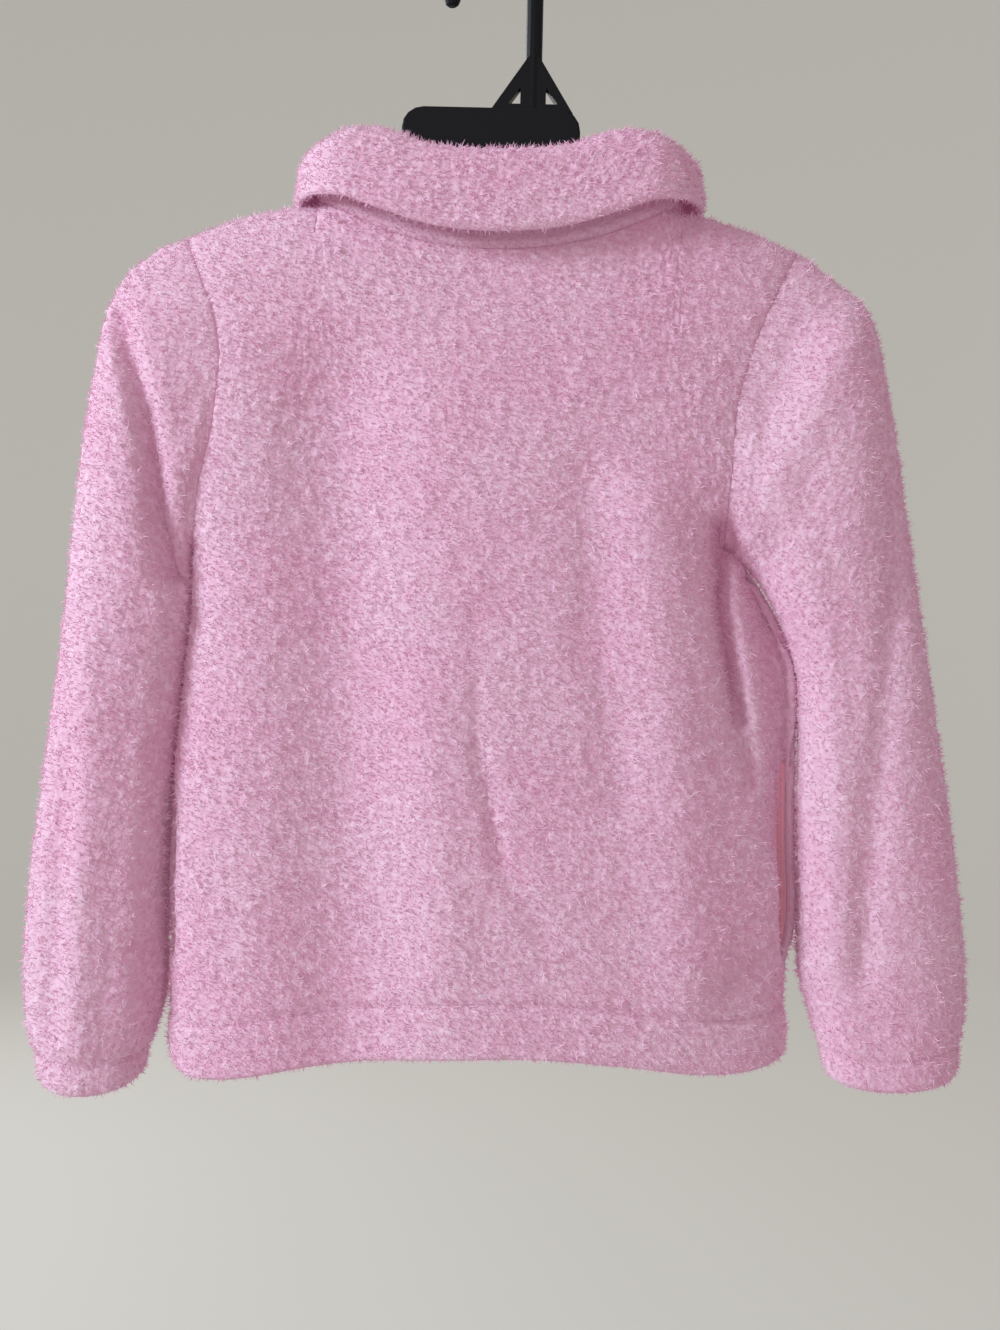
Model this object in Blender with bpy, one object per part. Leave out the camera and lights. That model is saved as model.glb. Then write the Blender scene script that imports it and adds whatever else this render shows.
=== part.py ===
"""A child's sherpa fleece jacket, zipped up and hung on a black plastic clothes hanger.

The jacket's own front faces -Y and its back +Y; its left side is +X. Z runs up. The origin is the inside of the
hook's crown, where a rail carries the hanger. Sizes are in millimetres until a mesh is made, which is in metres.
Cloth is a wall round a middle surface: body sections by height, armhole loops, and rings down each sleeve.
"""

from collections import namedtuple
from math import cos, pi, radians, sin

import bmesh
import bpy
import numpy as np
from mathutils import Matrix, Vector

MM = 0.001
SEAM_GAP = 0.3  # clear space between two pieces that are sewn together
FLEECE = 3.6  # curly pile and its knit ground
COLLAR_CLOTH = 5.0  # two layers of the fleece, pressed together
ROUNDNESS = 2.4  # exponent of the body's sections: 2 is an ellipse
FRONT_HALF_GAP = 4.6  # from the zip's middle to each front's edge

# ------------------------------------------------------------------ body sections
Edge = namedtuple("Edge", "height out")  # the side seams, from the hem up to the underarm
LEFT_EDGE = [
    Edge(-617, 174), Edge(-600, 176), Edge(-573, 175.2), Edge(-545, 176), Edge(-517, 177.4),
    Edge(-489, 176.3), Edge(-428, 170.8), Edge(-394, 167), Edge(-368, 164.4), Edge(-350, 163.4),
    Edge(-338, 163), Edge(-331.5, 163.2), Edge(-327, 164.4),
]
RIGHT_EDGE = [
    Edge(-617, 152), Edge(-600, 156.5), Edge(-573, 154.8), Edge(-560, 157), Edge(-545, 161.5),
    Edge(-489, 162.6), Edge(-444, 163), Edge(-410, 163.6), Edge(-396, 162.6), Edge(-383, 158.6),
    Edge(-369.5, 152.6), Edge(-358.5, 146.5), Edge(-348, 139.5), Edge(-340, 132), Edge(-335, 126.8),
    Edge(-330.5, 126),
]
Section = namedtuple("Section", "height back front left right")  # depths, and the widths that the depth follows
SECTIONS = [
    Section(-620, 31.2, 31, 176, 155), Section(-570, 30.6, 30.6, 176, 158), Section(-500, 29, 29.6, 176, 161),
    Section(-400, 27, 28, 170, 163), Section(-335, 25.9, 26.8, 170, 162), Section(-300, 25.2, 26, 175, 163),
    Section(-250, 24, 24.6, 182, 168), Section(-200, 22.2, 22.4, 190, 182), Section(-140, 20, 20, 200, 200),
]
Middle = namedtuple("Middle", "height x")
MIDDLE = [Middle(-620, 9.5), Middle(-400, 5), Middle(-250, 1), Middle(-140, -2.75)]
Hem = namedtuple("Hem", "s back front")  # s runs from -1, the right side seam, to 1, the left
HEM = [
    Hem(-1, -608, -608), Hem(-0.8, -612, -612), Hem(-0.53, -613.5, -613), Hem(-0.3, -607.5, -611),
    Hem(-0.12, -603.5, -610), Hem(0.1, -604.5, -610), Hem(0.35, -609.5, -611.5), Hem(0.63, -617, -614),
    Hem(0.85, -616, -614), Hem(1, -610, -610),
]

# ------------------------------------------------------------------ armholes, neck and shoulders
Spot = namedtuple("Spot", "x height")
ARMHOLE = {  # from the underarm up to the shoulder's tip
    (1, 1): [Spot(164.4, -327), Spot(163.6, -320), Spot(162, -308), Spot(160.5, -296), Spot(157.6, -285.8),
             Spot(154, -272.4), Spot(150.3, -249), Spot(148.3, -226), Spot(151.5, -204.6), Spot(158.7, -185.5),
             Spot(164, -172), Spot(168, -161.5)],
    (1, -1): [Spot(164.4, -327), Spot(163.6, -320), Spot(162, -308), Spot(160, -295), Spot(155, -277),
              Spot(150.5, -256), Spot(147.8, -235), Spot(147.8, -214), Spot(152.5, -193), Spot(160.5, -175),
              Spot(168, -161.5)],
    (-1, 1): [Spot(-126, -330.5), Spot(-125.6, -324), Spot(-125.4, -311), Spot(-126.8, -296), Spot(-128.2, -281),
              Spot(-128.9, -266), Spot(-130.8, -252), Spot(-136, -234), Spot(-143, -214.3), Spot(-154, -191),
              Spot(-166, -169.5)],
    (-1, -1): [Spot(-126, -330.5), Spot(-125.6, -324), Spot(-125.4, -311), Spot(-127, -296), Spot(-129.5, -281),
               Spot(-133, -262), Spot(-138.5, -240), Spot(-146, -216), Spot(-155, -192), Spot(-166, -169.5)],
}
NECK_HALF = 97.0
NECK_ROUND = 20.0  # the neck seam's bend where it passes over the shoulder
NECK_X = -2.75
NECK_COLUMN = 0.5  # the body column, in s, that ends where neck and shoulder seams meet
NECK_DROP = {1: 27.5, -1: 55.0}  # back and front
SIDE_NECK_HEIGHT = {1: -143.5, -1: -146.5}  # left and right
SHOULDER_BULGE = {1: 3.0, -1: 1.5}
SHOULDER_ROLL = 36.0  # how far down the cloth curves from the shoulder seam
UNDERARM = {1: -327.0, -1: -330.5}
ARMHOLE_TURN = 0.16  # share of the armhole over which the side seam's turn opens out

# ------------------------------------------------------------------ sleeves: rings from the armhole to the cuff
Ring = namedtuple("Ring", "out_x out_height in_x in_height half_depth y")
SLEEVE = {
    1: [
        Ring(168, -161.5, 164.4, -327, 20, 0), Ring(183, -168, 168.6, -331, 22, 0),
        Ring(197, -178.5, 169.8, -338, 23, 0), Ring(206.5, -191, 169.8, -345, 24, -1),
        Ring(212.7, -207, 169.8, -353, 25, -1), Ring(217.6, -233, 170.2, -362, 25, -2),
        Ring(222.5, -260, 171.2, -374, 25, -2), Ring(228, -300, 173, -392, 25, -3),
        Ring(233, -350, 176, -418, 25, -3), Ring(239.8, -405, 180, -452, 25, -3),
        Ring(247.5, -462, 183.4, -497, 25.5, -3), Ring(254.5, -518, 184, -540, 25.5, -3),
        Ring(257.2, -560, 184.5, -572, 25, -3), Ring(255.8, -592, 189.5, -590, 24, -3),
        Ring(251.8, -604.5, 194, -603.5, 22.4, -3), Ring(248.5, -620.5, 198.5, -620.5, 22, -3),
    ],
    -1: [
        Ring(-166, -169.5, -126, -330.5, 20, 0), Ring(-176.5, -178, -131.4, -331.9, 21, 1),
        Ring(-188, -187.3, -136.5, -336, 22, 2), Ring(-199.5, -197.5, -142.5, -341.5, 22, 3),
        Ring(-207, -214, -148.5, -349.5, 22, 4), Ring(-212, -238.6, -154.5, -360, 21.5, 5),
        Ring(-217, -271, -160, -373, 21, 5), Ring(-222.5, -310, -165.5, -389, 20, 4),
        Ring(-228.5, -352, -169, -406, 19, 3), Ring(-236, -402, -169.6, -444, 19, 3),
        Ring(-243, -448, -168.8, -485, 19, 2), Ring(-250, -502, -168.8, -530, 19.5, 2),
        Ring(-255, -550, -170, -562, 20, 1), Ring(-255.4, -583, -175.5, -583, 20, 1),
        Ring(-253.4, -601, -181, -603.5, 18.8, 1), Ring(-251.5, -617, -185.5, -619.5, 18.5, 1),
    ],
}
SLEEVE_HEAD_RINGS = 5  # rings over which the armhole's own curve fades out
CUFF_SAG = 6.0

# ------------------------------------------------------------------ collar: stand, roll and fall, back to front
Cross = namedtuple("Cross", "place stand roll fall lean")
COLLAR = [
    Cross(0, 41, 7, 37, 3), Cross(0.12, 40.5, 7, 36, 3), Cross(0.2, 41.5, 7, 36, 3), Cross(0.24, 37, 6.9, 32, 2.8),
    Cross(0.28, 32.5, 6.8, 28, 2.6), Cross(0.36, 23, 6.4, 20, 2.2), Cross(0.44, 15, 6, 13.5, 1.6),
    Cross(0.5, 11, 5.6, 8.8, 1.4), Cross(0.56, 11.5, 5.8, 11.5, 3.2), Cross(0.66, 17, 6, 28, 4),
    Cross(1, 22, 6, 42, 5),
]
COLLAR_POINT = 14.0  # how far each collar point is drawn away from the zip

# ------------------------------------------------------------------ largest folds, as soft troughs (-) and ridges
Fold = namedtuple("Fold", "piece x height x_end height_end width depth")
FOLDS = [
    Fold("sleeve_left", 199, -208, 184, -256, 10, -4), Fold("sleeve_left", 184, -256, 172, -340, 9, -5),
    Fold("sleeve_right", -159, -211, -138, -270, 9, -3), Fold("sleeve_right", -171, -232, -137, -318, 10, 3),
    Fold("sleeve_left", 228, -440, 238, -590, 8, -3), Fold("back", -122, -342, -126, -402, 11, -4),
    Fold("back", -126, -402, -140, -445, 13, -3),
]

# ------------------------------------------------------------------ pocket bags in the side seams
POCKET_TOP, POCKET_MOUTH_TOP = -448.0, -460.0
POCKET_MOUTH_BOTTOM, POCKET_BOTTOM = -554.0, -576.0
POCKET_CLOTH = 1.2
POCKET_GAPE = {1: 0.13, -1: 0.22}  # how far the back's edge, in s, is drawn off the front's along the mouth
# inward: how far in from the side seam; y: where the mouth is open; shut: y where the seam is sewn
BagStep = namedtuple("BagStep", "inward y shut")
BAG = [
    BagStep(3.3, -0.4, -0.8), BagStep(12, -1.2, -0.8), BagStep(34, -1.6, -0.9), BagStep(58, -1.6, -0.9),
    BagStep(66, 2.4, 0), BagStep(58, 6.4, 0.9), BagStep(34, 6.4, 0.9), BagStep(18, 6.6, 0.8), BagStep(9, 6.8, 0.8),
]

# ------------------------------------------------------------------ zip
ZIP_TAPE_WIDTH, ZIP_TAPE_THICKNESS = 14.0, 1.2
ZIP_TAPE_HOLLOW = 0.03  # rise per millimetre towards the inside, clear of the front
ZIP_TAPE_GAP = 0.5  # from the front's inside, which steps at the hem
SLIDER = (8.0, 3.4, 10.0)
SLIDER_DROP = 14.0  # below the neck seam
SLIDER_TAPER, SLIDER_EDGE = 1.0, 0.6
BRIDGE_WIDTH, BRIDGE_BAR = 2.0, 1.0
BRIDGE_HOLE = (2.4, 3.0)
BRIDGE_SUNK = 0.5  # how far the bridge's feet go into the slider
PULL_BAR = 1.2
PULL_WIDTH, PULL_LENGTH, PULL_LOOP = 5.6, 24.0, 4.4
PULL_LOOP_WIDTH = 3.2
PULL_DROP = 0.5  # the pull's bar rests this far below the bridge hole's middle
PULL_NECK, PULL_FLARE, PULL_END_WIDE, PULL_END_CUT = 6.0, 0.5, 3.0, 1.5
ZIP_BOX = (8.2, 3.6, 9.0)
ZIP_BOX_RISE, ZIP_BOX_EDGE = 1.0, 0.5

# ------------------------------------------------------------------ hanger
HOOK_ROD = (9.2, 7.0)  # across the hook's plane and through it
HOOK_RADIUS = 22.8
HOOK_TIP_HEIGHT = -34.0
HOOK_TIP = [(0.6, 0.45), (1.8, 0.8), (4.2, 1.0)]  # rise above the tip, and the share of the rod's size there
STEM = (-40.0, -58.0, -66.0, -92.0)  # heights of the straight stem's sections
GUSSET_TOP, GUSSET_TOP_HALF = -61.0, 3.0
GUSSET_FOOT, GUSSET_FOOT_RIGHT, GUSSET_FOOT_LEFT = -92.0, 22.0, 24.2
GUSSET_INSET = 0.4  # thinner than the rod on each face
WINDOW_NEAR, WINDOW_FAR = 7.0, 13.5  # the gusset's openings, out from the stem
WINDOW_FOOT, WINDOW_TOP = -87.0, -78.0
BODY_HALF, BODY_TOP, BODY_BOTTOM = 49.0, -89.6, -131.0
BODY_CORNER = 12.0
BODY_THICK = 9.0
BODY_EDGE = 1.2  # bevel
ARM_FOOT = 1.5  # chamfer along the arms' lower edges
ARM_DEPTH = 150.0  # the arms' mean distance below the hook
HANGER_TILT = 1.3  # degrees: the left arm hangs a little higher
Arm = namedtuple("Arm", "out top below height thick")  # no top: the arm lies under the shoulder, lower by below
ARM = [
    Arm(40, -103, 0, 24, 8), Arm(56, -116, 0, 21, 8), Arm(72, -133, 0, 18, 8), Arm(86, None, 0.8, 16, 8),
    Arm(104, None, 0.8, 16, 8), Arm(124, None, 0.8, 15, 8), Arm(144, None, 1, 14, 7.5),
    Arm(158, None, 2, 12, 6.5), Arm(167, None, 4.5, 9, 5),
]

PINK = (0.72, 0.40, 0.55, 1)
CORAL = (0.66, 0.27, 0.33, 1)
BLACK = (0.02, 0.018, 0.022, 1)
TAPE_PINK = (0.62, 0.33, 0.46, 1)

for old in list(bpy.data.objects):
    bpy.data.objects.remove(old)


# ------------------------------------------------------------------ small tools
def smooth(x, xs, ys):
    """A smooth curve through the points (xs, ys), xs rising, read at x."""
    xs, ys = np.asarray(xs, float), np.asarray(ys, float)
    slope = np.gradient(ys, xs)
    x = np.clip(np.asarray(x, float), xs[0], xs[-1])
    i = np.clip(np.searchsorted(xs, x, side="right") - 1, 0, len(xs) - 2)
    span = xs[i + 1] - xs[i]
    t = (x - xs[i]) / span
    return (
        (1 + 2 * t) * (1 - t) ** 2 * ys[i]
        + t * (1 - t) ** 2 * span * slope[i]
        + t * t * (3 - 2 * t) * ys[i + 1]
        + t * t * (t - 1) * span * slope[i + 1]
    )


def column(table, name):
    return [getattr(row, name) for row in table]


def read(table, key, name, x):
    return smooth(x, column(table, key), column(table, name))


def mix(a, b, t):
    return a + (b - a) * t


def material(name, colour, roughness):
    m = bpy.data.materials.new(name)
    m.use_nodes = True
    shader = m.node_tree.nodes["Principled BSDF"]
    shader.inputs["Base Color"].default_value = colour
    shader.inputs["Roughness"].default_value = roughness
    return m


def add_object(name, mesh, finish, smooth_angle=35):
    mesh.materials.append(finish)
    mesh.shade_smooth()
    mesh.set_sharp_from_angle(angle=radians(smooth_angle))
    thing = bpy.data.objects.new(name, mesh)
    bpy.context.scene.collection.objects.link(thing)
    return thing


def fold_depth(piece, points):
    """How far the cloth stands out of its plain form at each point, from the folds on its back."""
    total = np.zeros(points.shape[:-1])
    for fold in (f for f in FOLDS if f.piece == piece):
        start = np.array([fold.x, fold.height])
        run = np.array([fold.x_end, fold.height_end]) - start
        along = np.clip(((points[..., [0, 2]] - start) @ run) / (run @ run), 0, 1)
        away = points[..., [0, 2]] - start - along[..., None] * run
        near = np.exp(-(away**2).sum(-1) / fold.width**2)
        total += fold.depth * near * np.clip(points[..., 1] / 8, 0, 1)
    return total


# ------------------------------------------------------------------ middle surfaces
def armhole(side, face, rise):
    """x and height of an armhole's seam, rise 0 at the underarm and 1 at the shoulder's tip."""
    spots = np.array(ARMHOLE[side, face], float)
    run = np.concatenate([[0], np.cumsum(np.hypot(*np.diff(spots, axis=0).T))])
    return smooth(rise, run / run[-1], spots[:, 0]), smooth(rise, run / run[-1], spots[:, 1])


def top_edge(face, s):
    """The body's upper edge: the neck seam in the middle and a shoulder seam on each side."""
    side = np.where(s < 0, -1, 1)
    inner = np.clip(np.abs(s) / NECK_COLUMN, 0, 1)
    bend = np.clip(inner * 2 - 1, 0, 1) * pi / 2
    straight = NECK_HALF - NECK_ROUND
    across = np.minimum(inner * 2, 1) * straight + NECK_ROUND * np.sin(bend)
    x = NECK_X + side * across
    y = face * (NECK_ROUND * np.cos(bend) + 2 * (1 - np.minimum(inner * 2, 1) ** 2))
    neck_side = np.where(side > 0, SIDE_NECK_HEIGHT[1], SIDE_NECK_HEIGHT[-1])
    lowest = (SIDE_NECK_HEIGHT[1] + SIDE_NECK_HEIGHT[-1]) / 2 - NECK_DROP[face]
    z = lowest + (neck_side - lowest) * (across / NECK_HALF) ** (2.2 if face > 0 else 2.6)
    outer = np.clip((np.abs(s) - NECK_COLUMN) / (1 - NECK_COLUMN), 0, 1)
    tip_x = np.where(side > 0, ARMHOLE[1, 1][-1].x, ARMHOLE[-1, 1][-1].x)
    tip_z = np.where(side > 0, ARMHOLE[1, 1][-1].height, ARMHOLE[-1, 1][-1].height)
    bulge = np.where(side > 0, SHOULDER_BULGE[1], SHOULDER_BULGE[-1]) * 4 * outer * (1 - outer)
    on_shoulder = np.abs(s) > NECK_COLUMN
    x = np.where(on_shoulder, mix(x, tip_x, outer), x)
    y = np.where(on_shoulder, 0, y)
    z = np.where(on_shoulder, mix(neck_side, tip_z, outer) + bulge, z)
    return x, y, z


def edge_x(side, height):
    """Where a side seam lies."""
    left, right = read(LEFT_EDGE, "height", "out", height), -read(RIGHT_EDGE, "height", "out", height)
    return np.where(side > 0, left, right)


def section_x(side, height):
    """The width that the body's depth follows, which doesn't dip in at the underarm."""
    left, right = read(SECTIONS, "height", "left", height), -read(SECTIONS, "height", "right", height)
    return np.where(side > 0, left, right)


def torso(face, s, rise):
    """The body's middle surface. face is 1 on the back and -1 on the front; s is -1 at the right side and 1 at
    the left; rise is 0 at the hem, 1 at the underarm and 2 at the top edge."""
    s, rise = np.broadcast_arrays(np.asarray(s, float), np.asarray(rise, float))
    side = np.where(s < 0, -1, 1)
    low, high = np.clip(rise, 0, 1), np.clip(rise - 1, 0, 1)
    wide = np.sin(np.abs(s) * pi / 2)
    under_z = mix(UNDERARM[-1], UNDERARM[1], (s + 1) / 2)
    z_low = mix(read(HEM, "s", "back" if face > 0 else "front", s), under_z, low)
    middle = read(MIDDLE, "height", "x", z_low)
    plain = section_x(side, z_low)
    x_low = mix(middle, plain, wide) + (edge_x(side, z_low) - plain) * wide**4
    x_top, y_top, z_top = top_edge(face, s)
    x_high, z_high = mix(x_low, x_top, high), mix(z_low, z_top, high)
    for one in (-1, 1):
        arm_x, arm_z = armhole(one, face, high)
        hole = ARMHOLE[one, face]
        near = np.where(side == one, np.abs(s) ** 3, 0) * (rise > 1)
        x_high = x_high + (arm_x - mix(hole[0].x, hole[-1].x, high)) * near
        z_high = z_high + (arm_z - mix(hole[0].height, hole[-1].height, high)) * near
    x, z = np.where(rise > 1, x_high, x_low), np.where(rise > 1, z_high, z_low)
    middle = read(MIDDLE, "height", "x", z)
    reach = np.clip(np.abs((x - middle) / (section_x(side, z) - middle)), 0, 1)
    lift = np.clip(high / ARMHOLE_TURN, 0, 1)
    reach = mix(wide, reach, np.sqrt(lift * (2 - lift)))
    deep = read(SECTIONS, "height", "back" if face > 0 else "front", z)
    full = face * deep * np.maximum(1 - reach**ROUNDNESS, 0) ** (1 / ROUNDNESS)
    fallen = np.clip((z_top - z) / SHOULDER_ROLL, 0, 1)
    y = np.where(rise > 1, mix(y_top, full, np.sqrt(fallen * (2 - fallen))), full)
    if face < 0:
        x = x + side * FRONT_HALF_GAP * (1 - np.minimum(np.abs(s) / NECK_COLUMN, 1)) ** 2
    points = np.stack([x, y, z], -1)
    if face > 0:
        points[..., 1] += fold_depth("back", points)
    return points


def arm_steps(rise):
    """The armhole's rows crowd towards the shoulder's tip, where the cloth bends over the hanger's arm."""
    return 1 - (1 - rise) ** 1.5


def sleeve(side, angle, along):
    """A sleeve's middle surface. angle is 0 at the underarm, pi at the shoulder line and goes on round the
    front; along is 0 at the armhole and counts the rings of its table down to the cuff."""
    angle, along = np.broadcast_arrays(np.asarray(angle, float), np.asarray(along, float))
    rings = SLEEVE[side]
    steps = np.arange(len(rings))
    get = {name: smooth(along, steps, column(rings, name)) for name in Ring._fields}
    rise = 1 - np.abs(angle / pi - 1)
    back = torso(1, side * 1.0, 1 + arm_steps(rise))
    front = torso(-1, side * 1.0, 1 + arm_steps(rise))
    hole = np.where((angle <= pi)[..., None], back, front)
    first, last = ARMHOLE[side, 1][0], ARMHOLE[side, 1][-1]
    hole_mid = np.array([(first.x + last.x) / 2, (first.height + last.height) / 2])
    hole_run = np.array([last.x - first.x, last.height - first.height]) / 2
    length = np.hypot(*hole_run)
    chord = hole_run / length
    bow = np.array([-chord[1], chord[0]])
    flat = hole[..., [0, 2]] - hole_mid
    hole_c, hole_e = (flat @ chord) / length, flat @ bow
    run_x, run_z = (get["out_x"] - get["in_x"]) / 2, (get["out_height"] - get["in_height"]) / 2
    half = np.hypot(run_x, run_z)
    fade = np.clip(along / SLEEVE_HEAD_RINGS, 0, 1)
    fade = fade * fade * (3 - 2 * fade)
    c = mix(hole_c, -np.cos(angle), fade)
    e = hole_e * (1 - fade)
    y = mix(hole[..., 1], get["y"] + get["half_depth"] * np.sin(angle), fade)
    sag = CUFF_SAG * np.clip((along - 11) / 4, 0, 1) * np.clip(np.sin(angle), 0, 1)
    x = (get["out_x"] + get["in_x"]) / 2 + c * run_x - e * run_z / half
    z = (get["out_height"] + get["in_height"]) / 2 + c * run_z + e * run_x / half - sag
    points = np.stack([x, y, z], -1)
    points[..., 1] += fold_depth("sleeve_left" if side > 0 else "sleeve_right", points) * fade
    return points


def collar(place, run):
    """The collar's middle surface. place is -1 at the right front, 0 at the back's middle and 1 at the left
    front; run is 0 at the neck seam, 1 at the stand's top, 2 after the roll and 3 at the fall's edge."""
    place, run = np.broadcast_arrays(np.asarray(place, float), np.asarray(run, float))

    def seam(p):
        at_back = torso(1, np.clip(p, -0.5, 0.5), 2.0)
        past = np.sign(p) * np.clip(1 - np.abs(p), 0, NECK_COLUMN)
        past = np.where(np.abs(past) < 1e-6, np.sign(p) * 1e-6, past)
        at_front = torso(-1, past, 2.0)
        return np.where((np.abs(p) <= NECK_COLUMN)[..., None], at_back, at_front)

    base = seam(place)
    step = 0.03
    ahead, behind = seam(np.clip(place + step, -1, 1)), seam(np.clip(place - step, -1, 1))
    tangent = (ahead - behind)[..., :2]
    tangent /= np.linalg.norm(tangent, axis=-1, keepdims=True)
    out = np.stack([-tangent[..., 1], tangent[..., 0]], -1)
    far = np.abs(place)
    get = {name: read(COLLAR, "place", name, far) for name in Cross._fields}
    turn = np.clip(run - 1, 0, 1) * pi
    fall = np.clip(run - 2, 0, 1)
    up = np.clip(run, 0, 1) * get["stand"] + get["roll"] * np.sin(turn) - fall * get["fall"]
    off = get["roll"] * (1 - np.cos(turn)) + fall * get["lean"]
    drawn = COLLAR_POINT * fall * np.clip((far - 0.6) / 0.4, 0, 1) ** 2 * np.sign(place)
    flat = base[..., :2] + out * off[..., None]
    return np.stack([flat[..., 0] + drawn, flat[..., 1], base[..., 2] + up], -1)


# ------------------------------------------------------------------ cloth walls
class Sheet:
    """A grid of points on a piece's middle surface, with the wall's thickness outside and inside it."""

    def __init__(self, name, points, outside, inside, closed=False, flip=False):
        self.name, self.points, self.closed = name, np.array(points, float), closed
        rows, columns = self.points.shape[:2]
        self.outside = np.broadcast_to(outside, (rows, columns)).astype(float)
        self.inside = np.broadcast_to(inside, (rows, columns)).astype(float)
        down = np.gradient(self.points, axis=0)
        if closed:
            across = (np.roll(self.points, -1, 1) - np.roll(self.points, 1, 1)) / 2
        else:
            across = np.gradient(self.points, axis=1)
        normal = np.cross(across, down) * (-1 if flip else 1)
        self.normal = normal / np.linalg.norm(normal, axis=-1, keepdims=True)

    def border(self):
        rows, columns = self.points.shape[:2]
        for i in range(rows):
            for j in range(columns):
                if i in (0, rows - 1) or (not self.closed and j in (0, columns - 1)):
                    yield i, j

    def trim(self, first=SEAM_GAP / 2):
        """Draws each edge back by half a seam's gap along the cloth, and the first row by its own amount."""
        moved = self.points.copy()
        rows, columns = self.points.shape[:2]
        edges = [((0, slice(None)), (1, slice(None))), ((rows - 1, slice(None)), (rows - 2, slice(None)))]
        if not self.closed:
            edges += [((slice(None), 0), (slice(None), 1)),
                      ((slice(None), columns - 1), (slice(None), columns - 2))]
        for step, (edge, inner) in enumerate(edges):
            way = self.points[inner] - self.points[edge]
            normal = self.normal[edge]
            way = way - (way * normal).sum(-1, keepdims=True) * normal
            back = SEAM_GAP / 2 if step else first
            moved[edge] += way / np.linalg.norm(way, axis=-1, keepdims=True) * back
        self.points = moved

    def wall(self, finish):
        """The piece as a closed solid: an outer and an inner skin joined along the cut edges."""
        rows, columns = self.points.shape[:2]
        order = self.points @ np.array([0.31, 0.17, 1.0])
        outer = self.points + self.normal * self.outside[..., None]
        inner = self.points - self.normal * self.inside[..., None]
        made = bmesh.new()
        skins = [[[made.verts.new(p * MM) for p in row] for row in skin] for skin in (outer, inner)]
        wrap = columns if self.closed else columns - 1
        for i in range(rows - 1):
            for j in range(wrap):
                k = (j + 1) % columns
                a, b, c, d = (skins[0][p][q] for p, q in ((i, j), (i, k), (i + 1, k), (i + 1, j)))
                made.faces.new((a, b, c, d))
                a, b, c, d = (skins[1][p][q] for p, q in ((i, j), (i, k), (i + 1, k), (i + 1, j)))
                made.faces.new((d, c, b, a))
        rims = [[(0, j) for j in range(columns)], [(rows - 1, j) for j in range(columns)]]
        if self.closed:
            rims = [rim + rim[:1] for rim in rims]
        else:
            rims += [[(i, 0) for i in range(rows)], [(i, columns - 1) for i in range(rows)]]
        for rim in rims:
            for low, high in zip(rim, rim[1:]):
                if order[low] > order[high]:  # both pieces of a seam split its twisted cut edge the same way
                    low, high = high, low
                (i, j), (p, q) = low, high
                made.faces.new((skins[0][i][j], skins[0][p][q], skins[1][p][q]))
                made.faces.new((skins[0][i][j], skins[1][p][q], skins[1][i][j]))
        bmesh.ops.recalc_face_normals(made, faces=made.faces)
        mesh = bpy.data.meshes.new(self.name)
        made.to_mesh(mesh)
        made.free()
        return add_object(self.name, mesh, finish)


def share_normals(sheets):
    """Along each seam both pieces take one direction, so that their cut edges face each other squarely."""
    meeting = {}
    for sheet in sheets:
        for i, j in sheet.border():
            key = tuple(np.round(sheet.points[i, j], 3))
            meeting.setdefault(key, []).append((sheet, i, j))
    for places in meeting.values():
        total = sum(sheet.normal[i, j] for sheet, i, j in places)
        total /= np.linalg.norm(total)
        for sheet, i, j in places:
            sheet.normal[i, j] = total


# ------------------------------------------------------------------ grids
HEM_TOP = 0.107  # the hem's stitch line, as a share of the way up to the underarm
BELOW = [0, HEM_TOP - 0.006, HEM_TOP + 0.006, 0.18, 0.25, 0.34, 0.44, 0.53, 0.66, 0.79, 0.88, 0.94, 0.98]
ABOVE = [0, 0.03, 0.09, 0.19, 0.31, 0.44, 0.57, 0.7, 0.82, 0.92, 1]
ROWS = np.array(BELOW + [1 + arm_steps(np.array(a)) for a in ABOVE])
HEM_ROWS = 2  # rows that lie in the turned-up hem
FIRST_ROW_GAP = {"collar": 0.6, "sleeve_left": 0.35, "sleeve_right": 0.9}  # at seams that run round sharp bends
NECK_STEPS, SHOULDER_STEPS = 6, 5
COLUMNS = np.concatenate([
    np.linspace(0, NECK_COLUMN, NECK_STEPS + 1),
    np.linspace(NECK_COLUMN, 1, SHOULDER_STEPS + 1)[1:],
])


def pocket_mouth(rows, side):
    """1 along the pocket's mouth, fading to 0 at its ends, for rows below the underarm."""
    height = mix(read(HEM, "s", "back", side * 1.0), UNDERARM[side], np.clip(rows, 0, 1))
    middle, half = (POCKET_MOUTH_TOP + POCKET_MOUTH_BOTTOM) / 2, (POCKET_MOUTH_TOP - POCKET_MOUTH_BOTTOM) / 2
    return np.clip(1 - ((height - middle) / (half + 8)) ** 4, 0, 1) * (rows <= 1)


def body_sheets():
    """The back and the two fronts, with their hems turned up inside."""
    fleece_half = FLEECE / 2
    inside = np.where(np.arange(len(ROWS)) < HEM_ROWS, fleece_half + FLEECE, fleece_half)[:, None]
    s = np.concatenate([-COLUMNS[::-1], COLUMNS[1:]])[None, :]
    side = np.where(s < 0, -1, 1)
    mouths = {one: POCKET_GAPE[one] * pocket_mouth(ROWS, one)[:, None] for one in (-1, 1)}
    gape = np.where(side > 0, mouths[1], mouths[-1])
    drawn = s * (1 - gape * np.clip((np.abs(s) - 0.4) / 0.6, 0, 1) ** 2)
    back = Sheet("back", torso(1, drawn, ROWS[:, None]), fleece_half, inside, flip=True)
    fronts = []
    for side, name in ((-1, "front_right"), (1, "front_left")):
        s = side * np.maximum(COLUMNS, 1e-6)[None, :]
        fronts.append(Sheet(name, torso(-1, s, ROWS[:, None]), fleece_half, inside, flip=side < 0))
    return [back, *fronts]


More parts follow.
